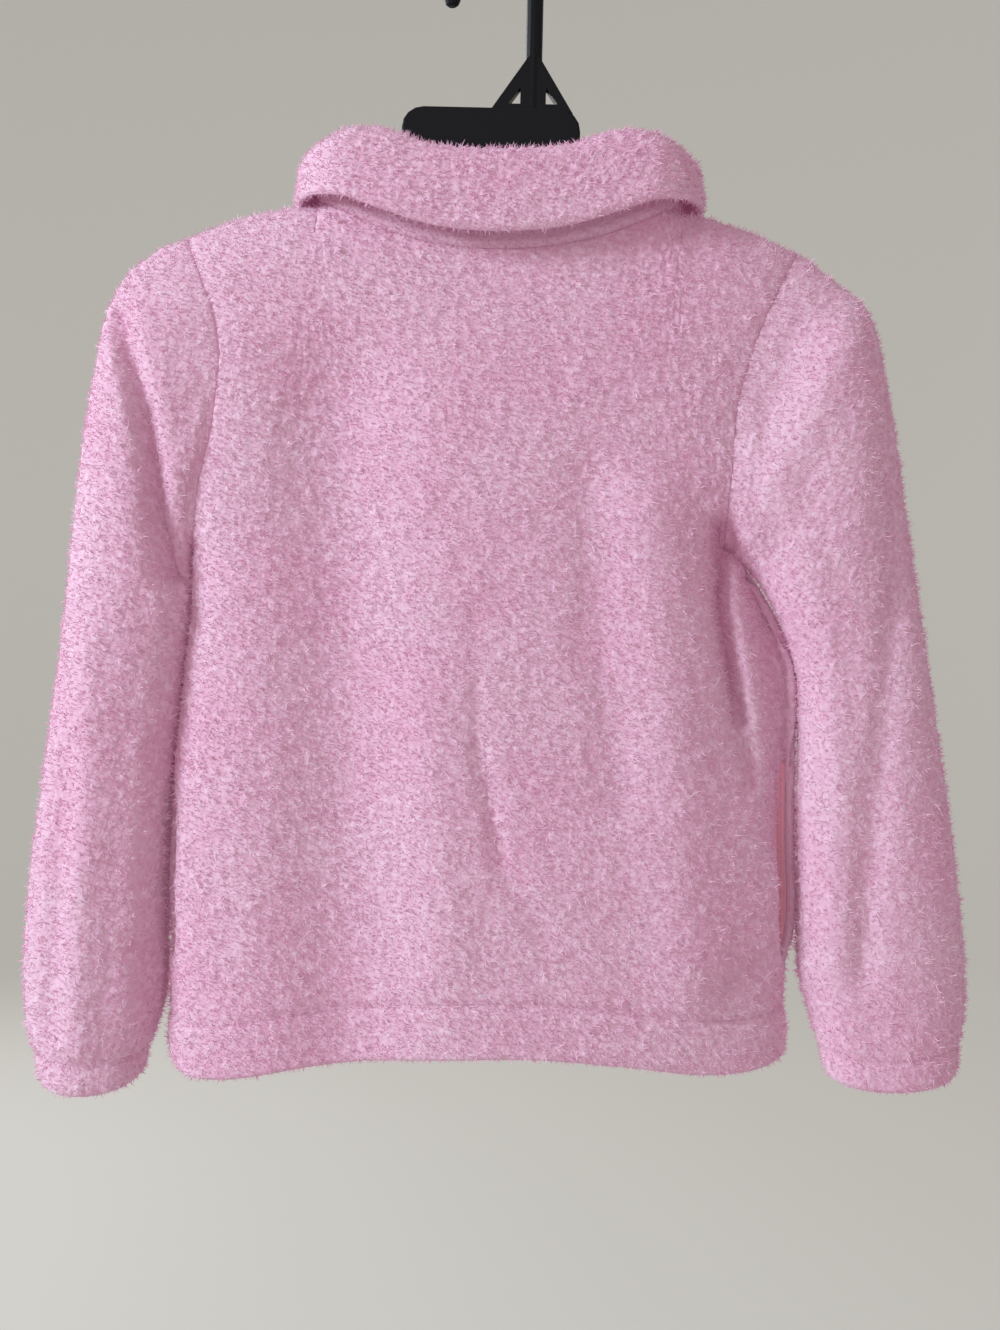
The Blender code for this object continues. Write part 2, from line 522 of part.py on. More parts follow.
def sleeve_sheet(side, name):
    rise = np.array(ABOVE)
    angle = np.concatenate([rise * pi, 2 * pi - rise[-2:0:-1] * pi])[None, :]
    along = np.array(list(range(14)) + [13.9, 14.1, 15.0])[:, None]
    inside = np.where(along >= 14, FLEECE * 1.5, FLEECE / 2)
    points = sleeve(side, angle, along)
    return Sheet(name, points, FLEECE / 2, inside, closed=True, flip=side < 0)


def collar_sheet():
    place = np.concatenate([-1 + COLUMNS[:NECK_STEPS], -COLUMNS[NECK_STEPS::-1][:-1], COLUMNS[: NECK_STEPS + 1],
                            1 - COLUMNS[:NECK_STEPS][::-1]])[None, :]
    run = np.array([0, 0.3, 0.65, 1, 1.25, 1.5, 1.75, 2, 2.35, 2.7, 3])[:, None]
    return Sheet("collar", collar(place, run), COLLAR_CLOTH / 2, COLLAR_CLOTH / 2, flip=True)


def pocket_sheet(side, name):
    """A bag folded from one piece: both layers start at the side seam and meet in a fold inside the body."""
    heights = np.array([POCKET_TOP, -456, -470, -490, -515, -540, -556, -567, POCKET_BOTTOM])
    full = np.sin((POCKET_TOP - heights) / (POCKET_TOP - POCKET_BOTTOM) * pi) ** 0.5
    seam = edge_x(np.array(side), heights)
    points = np.zeros((len(heights), len(BAG), 3))
    for j, step in enumerate(BAG):
        points[:, j, 0] = seam - side * step.inward
        points[:, j, 1] = mix(step.shut, step.y, full)
        points[:, j, 2] = heights
    return Sheet(name, points, POCKET_CLOTH / 2, POCKET_CLOTH / 2, flip=side > 0)


def zip_tape_sheet(side, name):
    """A strip sewn behind a front's edge, made from that front's own points, moved inside."""
    rows = np.concatenate([[ROWS[0] + 0.01], ROWS[1:-1], [1.98]])
    strip = torso(-1, side * 1e-6, rows)
    behind = FLEECE * np.where(np.arange(len(rows)) < HEM_ROWS, 1.5, 0.5) + ZIP_TAPE_GAP + ZIP_TAPE_THICKNESS / 2
    across = np.array([SEAM_GAP / 2 - FRONT_HALF_GAP, ZIP_TAPE_WIDTH - FRONT_HALF_GAP])
    points = np.stack([
        strip[:, None, 0] + side * across,
        strip[:, None, 1] + behind[:, None] + ZIP_TAPE_HOLLOW * np.maximum(across, 0),
        strip[:, None, 2] + 0 * across,
    ], -1)
    return Sheet(name, points, ZIP_TAPE_THICKNESS / 2, ZIP_TAPE_THICKNESS / 2, flip=side < 0)


# ------------------------------------------------------------------ hard pieces
def prism(name, outline, low, high, axis="y", hole=None):
    """A flat outline in millimetres, carried from low to high along an axis: outline runs in (x, z) or (y, z)."""
    made = bmesh.new()

    def corner(a, b, c):
        return made.verts.new(np.array((a, c, b) if axis == "y" else (c, a, b)) * MM)

    rings = [outline] if hole is None else [outline, hole]
    ends = [[[corner(a, b, c) for a, b in ring] for ring in rings] for c in (low, high)]
    for one, other in zip(ends[0], ends[1]):
        for i in range(len(one)):
            j = (i + 1) % len(one)
            made.faces.new((one[i], one[j], other[j], other[i]))
    for end in ends:
        if hole is None:
            made.faces.new(end[0])
            continue
        for i in range(len(outline)):
            j = (i + 1) % len(outline)
            made.faces.new((end[0][i], end[0][j], end[1][j], end[1][i]))
    bmesh.ops.recalc_face_normals(made, faces=made.faces)
    mesh = bpy.data.meshes.new(name)
    made.to_mesh(mesh)
    made.free()
    return mesh


def loft(name, rings):
    """A closed solid through rings of points in millimetres, with its two ends filled."""
    made = bmesh.new()
    verts = [[made.verts.new(np.array(p) * MM) for p in ring] for ring in rings]
    for one, other in zip(verts, verts[1:]):
        for i in range(len(one)):
            j = (i + 1) % len(one)
            made.faces.new((one[i], one[j], other[j], other[i]))
    made.faces.new(verts[0])
    made.faces.new(verts[-1])
    bmesh.ops.recalc_face_normals(made, faces=made.faces)
    mesh = bpy.data.meshes.new(name)
    made.to_mesh(mesh)
    made.free()
    return mesh


def box_outline(low_a, high_a, low_b, high_b):
    return [(low_a, low_b), (high_a, low_b), (high_a, high_b), (low_a, high_b)]


def join(thing, other, operation="UNION"):
    """Joins another solid to a piece, or cuts it out."""
    tool = add_object(other.name, other, thing.active_material)
    tool.hide_render = True
    tool.display_type = "WIRE"
    step = thing.modifiers.new(other.name, "BOOLEAN")
    step.operation = operation
    step.solver = "EXACT"
    step.object = tool


def soften(thing, width):
    step = thing.modifiers.new("edges", "BEVEL")
    step.width = width * MM
    step.segments = 2
    step.limit_method = "ANGLE"
    step.angle_limit = radians(50)


def arm_top(out):
    """The arm's upper edge under both shoulders' inside, before the hanger's tilt turns it about the origin."""
    lean = sin(radians(HANGER_TILT))
    tops = []
    for side in (1, -1):
        x, _, z = top_edge(1, side * np.linspace(NECK_COLUMN, 1, 40))
        order = np.argsort(side * x)
        turned = side * out + ARM_DEPTH * lean
        inside = np.interp(side * turned, (side * x)[order], z[order]) - FLEECE / 2
        tops.append(inside - turned * lean)
    return min(tops) - SEAM_GAP


def arm_rings(side):
    rings = []
    for row in ARM:
        top = row.top if row.top else arm_top(row.out) - row.below
        half, low = row.thick / 2, top - row.height
        crown = [(half * cos(t), top - half + half * sin(t)) for t in np.linspace(0, pi, 7)]
        foot = [(-half, low + ARM_FOOT), (-half + ARM_FOOT, low), (half - ARM_FOOT, low), (half, low + ARM_FOOT)]
        rings.append([(side * row.out, y, z) for y, z in crown + foot])
    return rings


def hook_rings():
    """The rod's sections from the rounded tip, over the crown and down the stem."""
    crown_z = HOOK_ROD[0] / 2 - HOOK_RADIUS
    spine = [(HOOK_RADIUS, HOOK_TIP_HEIGHT + rise, 0.0) for rise, _ in HOOK_TIP]
    spine += [(HOOK_RADIUS * cos(t), crown_z + HOOK_RADIUS * sin(t), t) for t in np.linspace(0, pi, 19)]
    spine += [(-HOOK_RADIUS, z, pi) for z in STEM]
    swell = [size for _, size in HOOK_TIP] + [1.0] * (len(spine) - len(HOOK_TIP))
    rings = []
    for (x, z, turn), size in zip(spine, swell):
        ring = []
        for t in np.linspace(0, 2 * pi, 12, endpoint=False):
            across = cos(t) * HOOK_ROD[0] / 2 * size
            ring.append((x + across * cos(turn), sin(t) * HOOK_ROD[1] / 2 * size, z + across * sin(turn)))
        rings.append(ring)
    return rings


def make_hanger():
    outline = []
    for quarter in range(4):
        side, end = (1, -1, -1, 1)[quarter], (BODY_TOP, BODY_TOP, BODY_BOTTOM, BODY_BOTTOM)[quarter]
        up = 1 if quarter < 2 else -1
        for t in np.linspace(quarter, quarter + 1, 5) * pi / 2:
            outline.append((side * (BODY_HALF - BODY_CORNER) + BODY_CORNER * cos(t),
                            end - up * BODY_CORNER + BODY_CORNER * sin(t)))
    hanger = add_object("hanger", prism("hanger", outline, -BODY_THICK / 2, BODY_THICK / 2), black)
    soften(hanger, BODY_EDGE)
    stem_x = -HOOK_RADIUS
    half = HOOK_ROD[1] / 2 - GUSSET_INSET
    gusset = [(stem_x - GUSSET_TOP_HALF, GUSSET_TOP), (stem_x + GUSSET_TOP_HALF, GUSSET_TOP),
              (stem_x + GUSSET_FOOT_LEFT, GUSSET_FOOT), (stem_x - GUSSET_FOOT_RIGHT, GUSSET_FOOT)]
    join(hanger, prism("hanger_gusset", gusset, -half, half))
    join(hanger, loft("hanger_hook", hook_rings()))
    for side, word in ((1, "left"), (-1, "right")):
        join(hanger, loft(f"hanger_arm_{word}", arm_rings(side)))
        near, far = stem_x + side * WINDOW_NEAR, stem_x + side * WINDOW_FAR
        window = [(near, WINDOW_FOOT), (far, WINDOW_FOOT), (near, WINDOW_TOP)]
        join(hanger, prism(f"hanger_window_{word}", window, -BODY_THICK, BODY_THICK), "DIFFERENCE")
    for thing in [o for o in bpy.data.objects if o.name.startswith("hanger")]:
        thing.data.transform(Matrix.Rotation(-radians(HANGER_TILT), 4, "Y"))


def zip_place(height):
    """The zip's middle line at a height: x, and y of the tapes' outer face."""
    rows = np.linspace(0.02, 1.98, 300)
    line = torso(-1, 1e-6, rows)
    x = np.interp(height, line[:, 2], line[:, 0]) - FRONT_HALF_GAP
    y = np.interp(height, line[:, 2], line[:, 1]) + FLEECE / 2
    return x, y


def make_zip_ends():
    wide, deep, tall = SLIDER
    neck = top_edge(-1, np.array(0.0))[2]
    z = float(neck) - SLIDER_DROP
    x, tape_y = zip_place(z)
    upper_y = zip_place(z + tall / 2)[1]
    lower_y = zip_place(z - tall / 2)[1]
    rear = min(tape_y, upper_y, lower_y)
    face = rear - deep
    foot = wide / 2 - SLIDER_TAPER
    shape = [(x - wide / 2, z + tall / 2), (x - foot, z - tall / 2), (x + foot, z - tall / 2),
             (x + wide / 2, z + tall / 2)]
    slider = add_object("zip_slider", prism("zip_slider", shape, face, rear), moulding)
    soften(slider, SLIDER_EDGE)
    hole_y, hole_z = BRIDGE_HOLE
    sunk, out, reach = face + BRIDGE_SUNK, face - hole_y - BRIDGE_BAR, hole_z / 2 + BRIDGE_BAR
    bridge = [(sunk, z - reach), (out, z - reach), (out, z + reach), (sunk, z + reach)]
    eye = [(face, z - hole_z / 2), (face - hole_y, z - hole_z / 2), (face - hole_y, z + hole_z / 2),
           (face, z + hole_z / 2)]
    join(slider, prism("zip_bridge", bridge, x - BRIDGE_WIDTH / 2, x + BRIDGE_WIDTH / 2, "x", eye))

    pivot = Vector((x, face - hole_y / 2, z - PULL_DROP)) * MM
    top, bar = PULL_BAR / 2, PULL_WIDTH / 2
    end = -PULL_LENGTH
    wide_z, flared, cut = end + PULL_END_WIDE, bar + PULL_FLARE, bar - PULL_END_CUT
    outline = [(-bar, top), (-bar, -PULL_NECK), (-flared, wide_z), (-cut, end), (cut, end), (flared, wide_z),
               (bar, -PULL_NECK), (bar, top)]
    loop, low = PULL_LOOP_WIDTH / 2, -top - PULL_LOOP
    mesh = prism("zip_pull", outline, -PULL_BAR / 2, PULL_BAR / 2)
    pull = add_object("zip_pull", mesh, moulding)
    pull.location = pivot
    cutter = prism("zip_pull_loop", box_outline(-loop, loop, low, -top), -PULL_BAR, PULL_BAR)
    join(pull, cutter, "DIFFERENCE")
    bpy.data.objects["zip_pull_loop"].location = pivot

    wide, deep, tall = ZIP_BOX
    bottom = float(torso(-1, 1e-6, 0.0)[2]) + ZIP_BOX_RISE
    x, tape_y = zip_place(bottom + tall / 2)
    rear = tape_y + FLEECE
    shape = box_outline(x - wide / 2, x + wide / 2, bottom, bottom + tall)
    box = add_object("zip_box", prism("zip_box", shape, rear - deep, rear), moulding)
    soften(box, ZIP_BOX_EDGE)


fleece = material("pink_sherpa", PINK, 0.95)
coral = material("coral_knit", CORAL, 0.8)
tape = material("zip_tape", TAPE_PINK, 0.85)
moulding = material("pink_moulding", TAPE_PINK, 0.4)
black = material("black_plastic", BLACK, 0.35)

sewn = body_sheets() + [sleeve_sheet(1, "sleeve_left"), sleeve_sheet(-1, "sleeve_right"), collar_sheet()]
share_normals(sewn)
for sheet in sewn:
    sheet.trim(FIRST_ROW_GAP.get(sheet.name, SEAM_GAP / 2))
    sheet.wall(fleece)
for side, word in ((1, "left"), (-1, "right")):
    pocket_sheet(side, f"pocket_{word}").wall(coral)
    zip_tape_sheet(side, f"zip_tape_{word}").wall(tape)
make_hanger()
make_zip_ends()
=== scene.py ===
"""A child's curly sherpa jacket, zipped up on a black plastic hanger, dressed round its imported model.

The jacket's own front faces -Y and its left side is +X. Z runs up from the inside of the hook's crown. Sizes
are in millimetres until a mesh is made.
"""

from collections import namedtuple
from math import cos, pi, sin

import bmesh
import bpy
import numpy as np
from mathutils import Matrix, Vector


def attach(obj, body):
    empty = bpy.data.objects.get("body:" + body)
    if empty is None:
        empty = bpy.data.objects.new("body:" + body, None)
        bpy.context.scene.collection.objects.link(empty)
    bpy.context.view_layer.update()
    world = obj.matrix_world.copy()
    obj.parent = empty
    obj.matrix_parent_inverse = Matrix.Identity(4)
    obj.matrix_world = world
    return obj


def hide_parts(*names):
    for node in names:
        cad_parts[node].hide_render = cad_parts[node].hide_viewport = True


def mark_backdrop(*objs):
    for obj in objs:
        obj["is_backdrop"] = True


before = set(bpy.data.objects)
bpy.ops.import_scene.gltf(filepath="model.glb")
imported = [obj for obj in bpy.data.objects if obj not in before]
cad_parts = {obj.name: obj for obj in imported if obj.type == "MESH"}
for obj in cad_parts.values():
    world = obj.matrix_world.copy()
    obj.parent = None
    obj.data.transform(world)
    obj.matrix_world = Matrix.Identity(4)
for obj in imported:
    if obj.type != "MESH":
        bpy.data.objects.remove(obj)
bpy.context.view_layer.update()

# ------------------------------------------------------------------ fleece
# All shell pieces are cut from one polyester sherpa: a knit ground with curly pile about 4 mm long, clumped
# in small lumps. Each piece is a closed wall round a middle surface, its lumps raised in the mesh itself.
MM = 0.001
SIDES = ((1, "left"), (-1, "right"))
FLEECE = 3.6  # wall thickness at the pile's mean height
LUMP = 4.6  # across one clump of pile
LUMP_HEIGHT = 1.3
# Pile colours: pale on the clumps' tips; the deeper root pink is painted shade in the gaps between clumps.
PINK_TIP = (0.785, 0.53, 0.675, 1)
PINK_ROOT_SHADE = (0.68, 0.378, 0.522, 1)
FLUSH = (0.99, 0.905, 0.95, 1)
SCATTER_GLOW = (0.90, 0.30, 0.55, 1)  # painted glow: pink emission standing in for the light that the pile scatters into its shaded side


def smooth(x, xs, ys):
    """A smooth curve through the points (xs, ys), xs rising, read at x."""
    xs, ys = np.asarray(xs, float), np.asarray(ys, float)
    slope = np.gradient(ys, xs)
    x = np.clip(np.asarray(x, float), xs[0], xs[-1])
    i = np.clip(np.searchsorted(xs, x, side="right") - 1, 0, len(xs) - 2)
    span = xs[i + 1] - xs[i]
    t = (x - xs[i]) / span
    return (
        (1 + 2 * t) * (1 - t) ** 2 * ys[i]
        + t * (1 - t) ** 2 * span * slope[i]
        + t * t * (3 - 2 * t) * ys[i + 1]
        + t * t * (t - 1) * span * slope[i + 1]
    )


def column(table, name):
    return [getattr(row, name) for row in table]


def read(table, key, name, x):
    return smooth(x, column(table, key), column(table, name))


def mix(a, b, t):
    return a + (b - a) * t


def ease(t):
    t = np.clip(t, 0, 1)
    return t * t * (3 - 2 * t)


def even(curve, low, high, count):
    """Values from low to high that step evenly along a curve."""
    t = np.linspace(low, high, 800)
    run = np.concatenate([[0], np.cumsum(np.linalg.norm(np.diff(curve(t), axis=0), axis=1))])
    return np.interp(np.linspace(0, run[-1], count), run, t)


def hashed(cell, seed):
    """A number from 0 to 1 for each whole-numbered cell."""
    x, y, z = np.moveaxis(cell, -1, 0)
    n = (x * 73856093) ^ (y * 19349663) ^ (z * 83492791) ^ (seed * 40503 + 977)
    n = ((n ^ (n >> 13)) * 1274126177) & 0x7FFFFFFF
    return ((n ^ (n >> 15)) % 65536) / 65536


def cloud(points, size, seed):
    """Soft noise from -1 to 1 whose lumps are about size millimetres."""
    p = points / size
    base = np.floor(p).astype(np.int64)
    f = p - base
    f = f * f * (3 - 2 * f)
    total = 0
    for corner in np.ndindex(2, 2, 2):
        total = total + np.where(corner, f, 1 - f).prod(-1) * hashed(base + np.array(corner), seed)
    return total * 2 - 1


def lumps(points, size, seed):
    """The pile's clumps: 1 on a clump's middle, 0 in the gaps round it."""
    warp = np.stack([cloud(points, size * 1.3, seed + k) for k in (11, 12, 13)], -1)
    p = points / size + 0.45 * warp
    base = np.floor(p).astype(np.int64)
    first, second = np.full(p.shape[:-1], 9.0), np.full(p.shape[:-1], 9.0)
    for step in np.ndindex(3, 3, 3):
        cell = base + np.array(step) - 1
        spot = cell + np.stack([hashed(cell, seed + k) for k in range(3)], -1)
        away = np.linalg.norm(p - spot, axis=-1)
        second = np.minimum(second, np.maximum(away, first))
        first = np.minimum(first, away)
    return ease((second - first) / 0.55)


def runs(grid, closed):
    """How far each point lies from the grid's four edges, in millimetres: start, end, left and right."""
    down, over = (np.cumsum(np.linalg.norm(np.diff(grid, axis=k), axis=-1), k) for k in (0, 1))
    rows = np.concatenate([0 * grid[:1, :, 0], down])
    across = np.concatenate([0 * grid[:, :1, 0], over], 1)
    far = np.full(rows.shape, 1e3)
    return rows, rows[-1:] - rows, far if closed else across, far if closed else across[:, -1:] - across


def rounded(away, radius, least=0.0):
    """A wall's height beside an edge: least of it at the edge, all of it past the radius."""
    t = 1 - np.clip(away / radius, 0, 1)
    return least + (1 - least) * np.sqrt(1 - t * t)


def trough(away, width, depth):
    return -depth * np.exp(-((away / width) ** 2))


def grid_normals(grid, closed, flip):
    down = np.gradient(grid, axis=0)
    across = (np.roll(grid, -1, 1) - np.roll(grid, 1, 1)) / 2 if closed else np.gradient(grid, axis=1)
    normal = np.cross(across, down) * (-1 if flip else 1)
    return normal / np.maximum(np.linalg.norm(normal, axis=-1, keepdims=True), 1e-9)


def skin_faces(index, closed):
    """Quads over a grid of vertex numbers."""
    if closed:
        index = np.concatenate([index, index[:, :1]], 1)
    quads = np.stack([index[:-1, :-1], index[:-1, 1:], index[1:, 1:], index[1:, :-1]], -1)
    return quads.reshape(-1, 4).tolist()


def place_object(name, data):
    thing = bpy.data.objects.new(name, data)
    bpy.context.scene.collection.objects.link(thing)
    return thing


def make_mesh(name, vertices, faces, finish, values=(), uv=None):
    """An object from vertices in millimetres, its faces turned outwards and its values stored by vertex."""
    mesh = bpy.data.meshes.new(name)
    mesh.from_pydata(vertices * MM, [], faces)
    for key, numbers in values:
        layer = mesh.attributes.new(key, "FLOAT", "POINT")
        layer.data.foreach_set("value", np.asarray(numbers, np.float32))
    turned = bmesh.new()
    turned.from_mesh(mesh)
    bmesh.ops.recalc_face_normals(turned, faces=turned.faces)
    turned.to_mesh(mesh)
    turned.free()
    if uv is not None:
        layer = mesh.uv_layers.new(name="UVMap")
        corner = np.zeros(len(mesh.loops), int)
        mesh.loops.foreach_get("vertex_index", corner)
        layer.data.foreach_set("uv", (uv[corner] * MM).astype(np.float32).ravel())
    mesh.shade_smooth()
    mesh.materials.append(finish)
    return place_object(name, mesh)


def make_wall(name, grid, outside, inside, finish, keep=4, closed=False, flip=False, pile=None, ground=0.35,
              lining=0.0):
    """A closed wall round a grid. Its outer skin takes every point and its inner skin one in keep."""
    normal = grid_normals(grid, closed, flip)
    outer = grid + normal * outside[..., None]
    inner = (grid - normal * inside[..., None])[::keep, ::keep]
    rows, columns = grid.shape[:2]
    top = np.arange(rows * columns).reshape(rows, columns)
    low = rows * columns + np.arange(inner.shape[0] * inner.shape[1]).reshape(inner.shape[:2])
    faces = skin_faces(top, closed) + [f[::-1] for f in skin_faces(low, closed)]
    sides = [(top[0], low[0]), (top[-1], low[-1])]
    if closed:
        sides = [(np.append(a, a[0]), np.append(b, b[0])) for a, b in sides]
    else:
        sides += [(top[:, 0], low[:, 0]), (top[:, -1], low[:, -1])]
    for fine, coarse in sides:
        for i in range(len(coarse) - 1):
            faces.append(fine[i * keep : (i + 1) * keep + 1].tolist() + [int(coarse[i + 1]), int(coarse[i])])
    if pile is None:
        pile = np.full((rows, columns), 0.5)
    run = runs(grid, False)
    uv = np.stack([run[2], run[0]], -1)
    values = [("pile", np.concatenate([pile.ravel(), np.full(low.size, ground)])),
              ("fluff", np.concatenate([np.ones(top.size), np.full(low.size, lining)]))]
    points = np.concatenate([outer.reshape(-1, 3), inner.reshape(-1, 3)])
    return make_mesh(name, points, faces, finish, values,
                     np.concatenate([uv.reshape(-1, 2), uv[::keep, ::keep].reshape(-1, 2)]))


def new_material(name):
    """A material, its node tree and its Principled shader."""
    material = bpy.data.materials.new(name)
    material.use_nodes = True
    return material, material.node_tree, material.node_tree.nodes["Principled BSDF"]


def add_node(tree, kind, inputs=(), **settings):
    node = tree.nodes.new(kind)
    for key, value in settings.items():
        setattr(node, key, value)
    for key, value in dict(inputs).items():
        if isinstance(value, bpy.types.NodeSocket):
            tree.links.new(value, node.inputs[key])
        else:
            node.inputs[key].default_value = value
    return node


def set_shader(shader, values):
    for name, value in values.items():
        shader.inputs[name].default_value = value


def maths(tree, operation, *values):
    return add_node(tree, "ShaderNodeMath", dict(enumerate(values)), operation=operation).outputs[0]


def noise(tree, where, scale, detail=2, out="Fac"):
    inputs = {"Vector": where, "Scale": scale, "Detail": detail}
    return add_node(tree, "ShaderNodeTexNoise", inputs).outputs[out]


def stretch(tree, value, **ends):
    """Maps a value between ends, given as from_min and the like."""
    inputs = {key.replace("_", " ").title(): end for key, end in ends.items()}
    return add_node(tree, "ShaderNodeMapRange", {"Value": value, **inputs}).outputs[0]


def own_place(tree):
    return add_node(tree, "ShaderNodeTexCoord").outputs["Object"]


def named(group, name):
    return add_node(group, "GeometryNodeInputNamedAttribute", {"Name": name}, data_type="FLOAT").outputs[0]


def emboss(tree, shader, height, strength, distance):
    """Small relief on a shader, distance in metres."""
    bump = add_node(tree, "ShaderNodeBump", {"Height": height, "Strength": strength, "Distance": distance})
    tree.links.new(bump.outputs["Normal"], shader.inputs["Normal"])


def make_woolly(shader, glow, specular):
    """A matt, downy surface: sheen at its rims and a faint painted pink glow for the light that the pile
    scatters.
    """
    set_shader(shader, {"Roughness": 0.95, "Specular IOR Level": specular, "Emission Color": SCATTER_GLOW,
                        "Emission Strength": glow, "Sheen Weight": 0.45, "Sheen Roughness": 0.45,
                        "Sheen Tint": (0.95, 0.88, 1.0, 1)})


def tone(tree, shader, factor, low, high):
    """Base colour from root pink at low, painted shade for the gaps, to tip pink at high, flushed deeper in
    broad soft patches.
    """
    ramp = add_node(tree, "ShaderNodeValToRGB", {"Fac": factor})
    for stop, place, colour in zip(ramp.color_ramp.elements, (low, high), (PINK_ROOT_SHADE, PINK_TIP)):
        stop.position, stop.color = place, colour
    drift = noise(tree, own_place(tree), 17)
    flushed = stretch(tree, drift, from_min=0.36, from_max=0.64)
    mixed = add_node(tree, "ShaderNodeMix", data_type="RGBA", blend_type="MULTIPLY")
    tree.links.new(flushed, mixed.inputs[0])
    tree.links.new(ramp.outputs["Color"], mixed.inputs[6])
    mixed.inputs[7].default_value = FLUSH
    tree.links.new(mixed.outputs[2], shader.inputs["Base Color"])


def make_sherpa():
    """Curly pile: pale on the clumps' tips and a deeper pink painted as shade in the gaps, with fine curls as
    bump.
    """
    material, tree, shader = new_material("pink_sherpa")
    place = own_place(tree)
    height = add_node(tree, "ShaderNodeAttribute", attribute_name="pile").outputs["Fac"]
    bend = noise(tree, place, 260, 1, "Color")
    moved = add_node(tree, "ShaderNodeVectorMath", {0: bend, "Scale": 0.0032}, operation="SCALE")
    bent = add_node(tree, "ShaderNodeVectorMath", {0: place, 1: moved.outputs[0]}, operation="ADD").outputs[0]
    curl = add_node(tree, "ShaderNodeTexVoronoi", {"Vector": bent, "Scale": 420}).outputs["Distance"]
    fine, patch = noise(tree, bent, 900), noise(tree, place, 45)
    raised = stretch(tree, curl, from_min=0.75, from_max=0.1)
    both = maths(tree, "MULTIPLY_ADD", raised, 0.38, maths(tree, "MULTIPLY", height, 0.62))
    tone(tree, shader, maths(tree, "MULTIPLY_ADD", patch, 0.16, both), 0.06, 0.82)
    fluff = add_node(tree, "ShaderNodeAttribute", attribute_name="fluff").outputs["Fac"]
    curls = maths(tree, "MULTIPLY_ADD", fine, 0.35, raised)
    emboss(tree, shader, maths(tree, "MULTIPLY", curls, fluff), 0.35, 0.0008)
    make_woolly(shader, 0.035, 0.12)
    return material


sherpa = make_sherpa()


def pile_on(grid, amount, seed):
    """The pile's height over a grid of points, and how full each clump is, from 0 to 1."""
    clumps = lumps(grid, LUMP, seed)
    small = lumps(grid, LUMP * 0.62, seed + 50)
    full = 0.72 * clumps + 0.28 * small
    swell = 0.35 * cloud(grid, 26, seed + 90)
    return (LUMP_HEIGHT * (full - 0.55) + swell) * amount, full


def node_group(name, sockets):
    """A geometry group with its named inputs: the tree, its input node and its output node."""
    group = bpy.data.node_groups.new(name, "GeometryNodeTree")
    group.interface.new_socket("Geometry", in_out="INPUT", socket_type="NodeSocketGeometry")
    for label, kind, value in sockets:
        socket = group.interface.new_socket(label, in_out="INPUT", socket_type=f"NodeSocket{kind}")
        if value is not None:
            socket.default_value = value
    group.interface.new_socket("Geometry", in_out="OUTPUT", socket_type="NodeSocketGeometry")
    return group, group.nodes.new("NodeGroupInput"), group.nodes.new("NodeGroupOutput")


def end_group(group, finish, copies, material):
    """Makes a group's copies real, gives them their material and sends them out."""
    real = add_node(group, "GeometryNodeRealizeInstances", {"Geometry": copies}).outputs[0]
    done = add_node(group, "GeometryNodeSetMaterial", {"Geometry": real, "Material": material}).outputs[0]
    group.links.new(done, finish.inputs[0])
    return group


def grow(name, source, group, values):
    """Runs a group over an object's mesh and returns what it grows as a plain mesh object."""
    step = source.modifiers.new(name, "NODES")
    step.node_group = group
    for item in group.interface.items_tree:
        if item.item_type == "SOCKET" and item.in_out == "INPUT" and item.name in values:
            step[item.identifier] = values[item.name]
    bpy.context.view_layer.update()
    ready = source.evaluated_get(bpy.context.evaluated_depsgraph_get())
    mesh = bpy.data.meshes.new_from_object(ready)
    source.modifiers.remove(step)
    return place_object(name, mesh)


def make_pile():
    """The locks of pile, toned by the clump they grow from: the locks in the gaps take its painted shade."""
    material, tree, shader = new_material("pink_pile")
    height = add_node(tree, "ShaderNodeAttribute", attribute_name="pile").outputs["Fac"]
    tone(tree, shader, height, 0.0, 0.75)
    make_woolly(shader, 0.06, 0.1)
    return material


pile_finish = make_pile()


def pile_group():
    """Locks of pile scattered over the fluffy skin.

    They are three-sided points that lean at random, longest on the clumps.
    """
    group, start, finish = node_group("pile", [
        ("Density", "Float", 200000.0), ("Seed", "Int", 0), ("Length", "Float", 0.0034),
        ("Radius", "Float", 0.0003), ("Tilt", "Float", 0.9), ("Material", "Material", None)])
    given = start.outputs
    thick = maths(group, "MULTIPLY", named(group, "fluff"), given["Density"])
    spread = add_node(group, "GeometryNodeDistributePointsOnFaces",
                      {"Mesh": given["Geometry"], "Density": thick, "Seed": given["Seed"]})
    tilt_low = maths(group, "MULTIPLY", given["Tilt"], -1.0)
    low = add_node(group, "ShaderNodeCombineXYZ", {0: tilt_low, 1: tilt_low}).outputs[0]
    high = add_node(group, "ShaderNodeCombineXYZ", {0: given["Tilt"], 1: given["Tilt"], 2: 2 * pi}).outputs[0]
    turn = add_node(group, "FunctionNodeRandomValue", {0: low, 1: high, "Seed": given["Seed"]},
                    data_type="FLOAT_VECTOR").outputs[0]
    turn = add_node(group, "FunctionNodeEulerToRotation", {0: turn}).outputs[0]
    turned = add_node(group, "FunctionNodeRotateRotation", {0: spread.outputs["Rotation"], 1: turn},
                      rotation_space="LOCAL").outputs[0]
    lock = add_node(group, "GeometryNodeMeshCone",
                    {"Vertices": 3, "Radius Top": 0.0, "Radius Bottom": given["Radius"],
                     "Depth": given["Length"]}).outputs[0]
    size = add_node(group, "FunctionNodeRandomValue", {2: 0.5, 3: 0.9, "Seed": given["Seed"]},
                    data_type="FLOAT").outputs[1]
    size = maths(group, "MULTIPLY_ADD", named(group, "pile"), 0.5, size)
    placed = add_node(group, "GeometryNodeInstanceOnPoints",
                      {"Points": spread.outputs["Points"], "Instance": lock, "Rotation": turned,
                       "Scale": size})
    return end_group(group, finish, placed.outputs[0], given["Material"])


locks = pile_group()


def pile_of(thing, name, density, seed):
    return grow(name, thing, locks, {"Density": float(density), "Seed": seed, "Material": pile_finish})


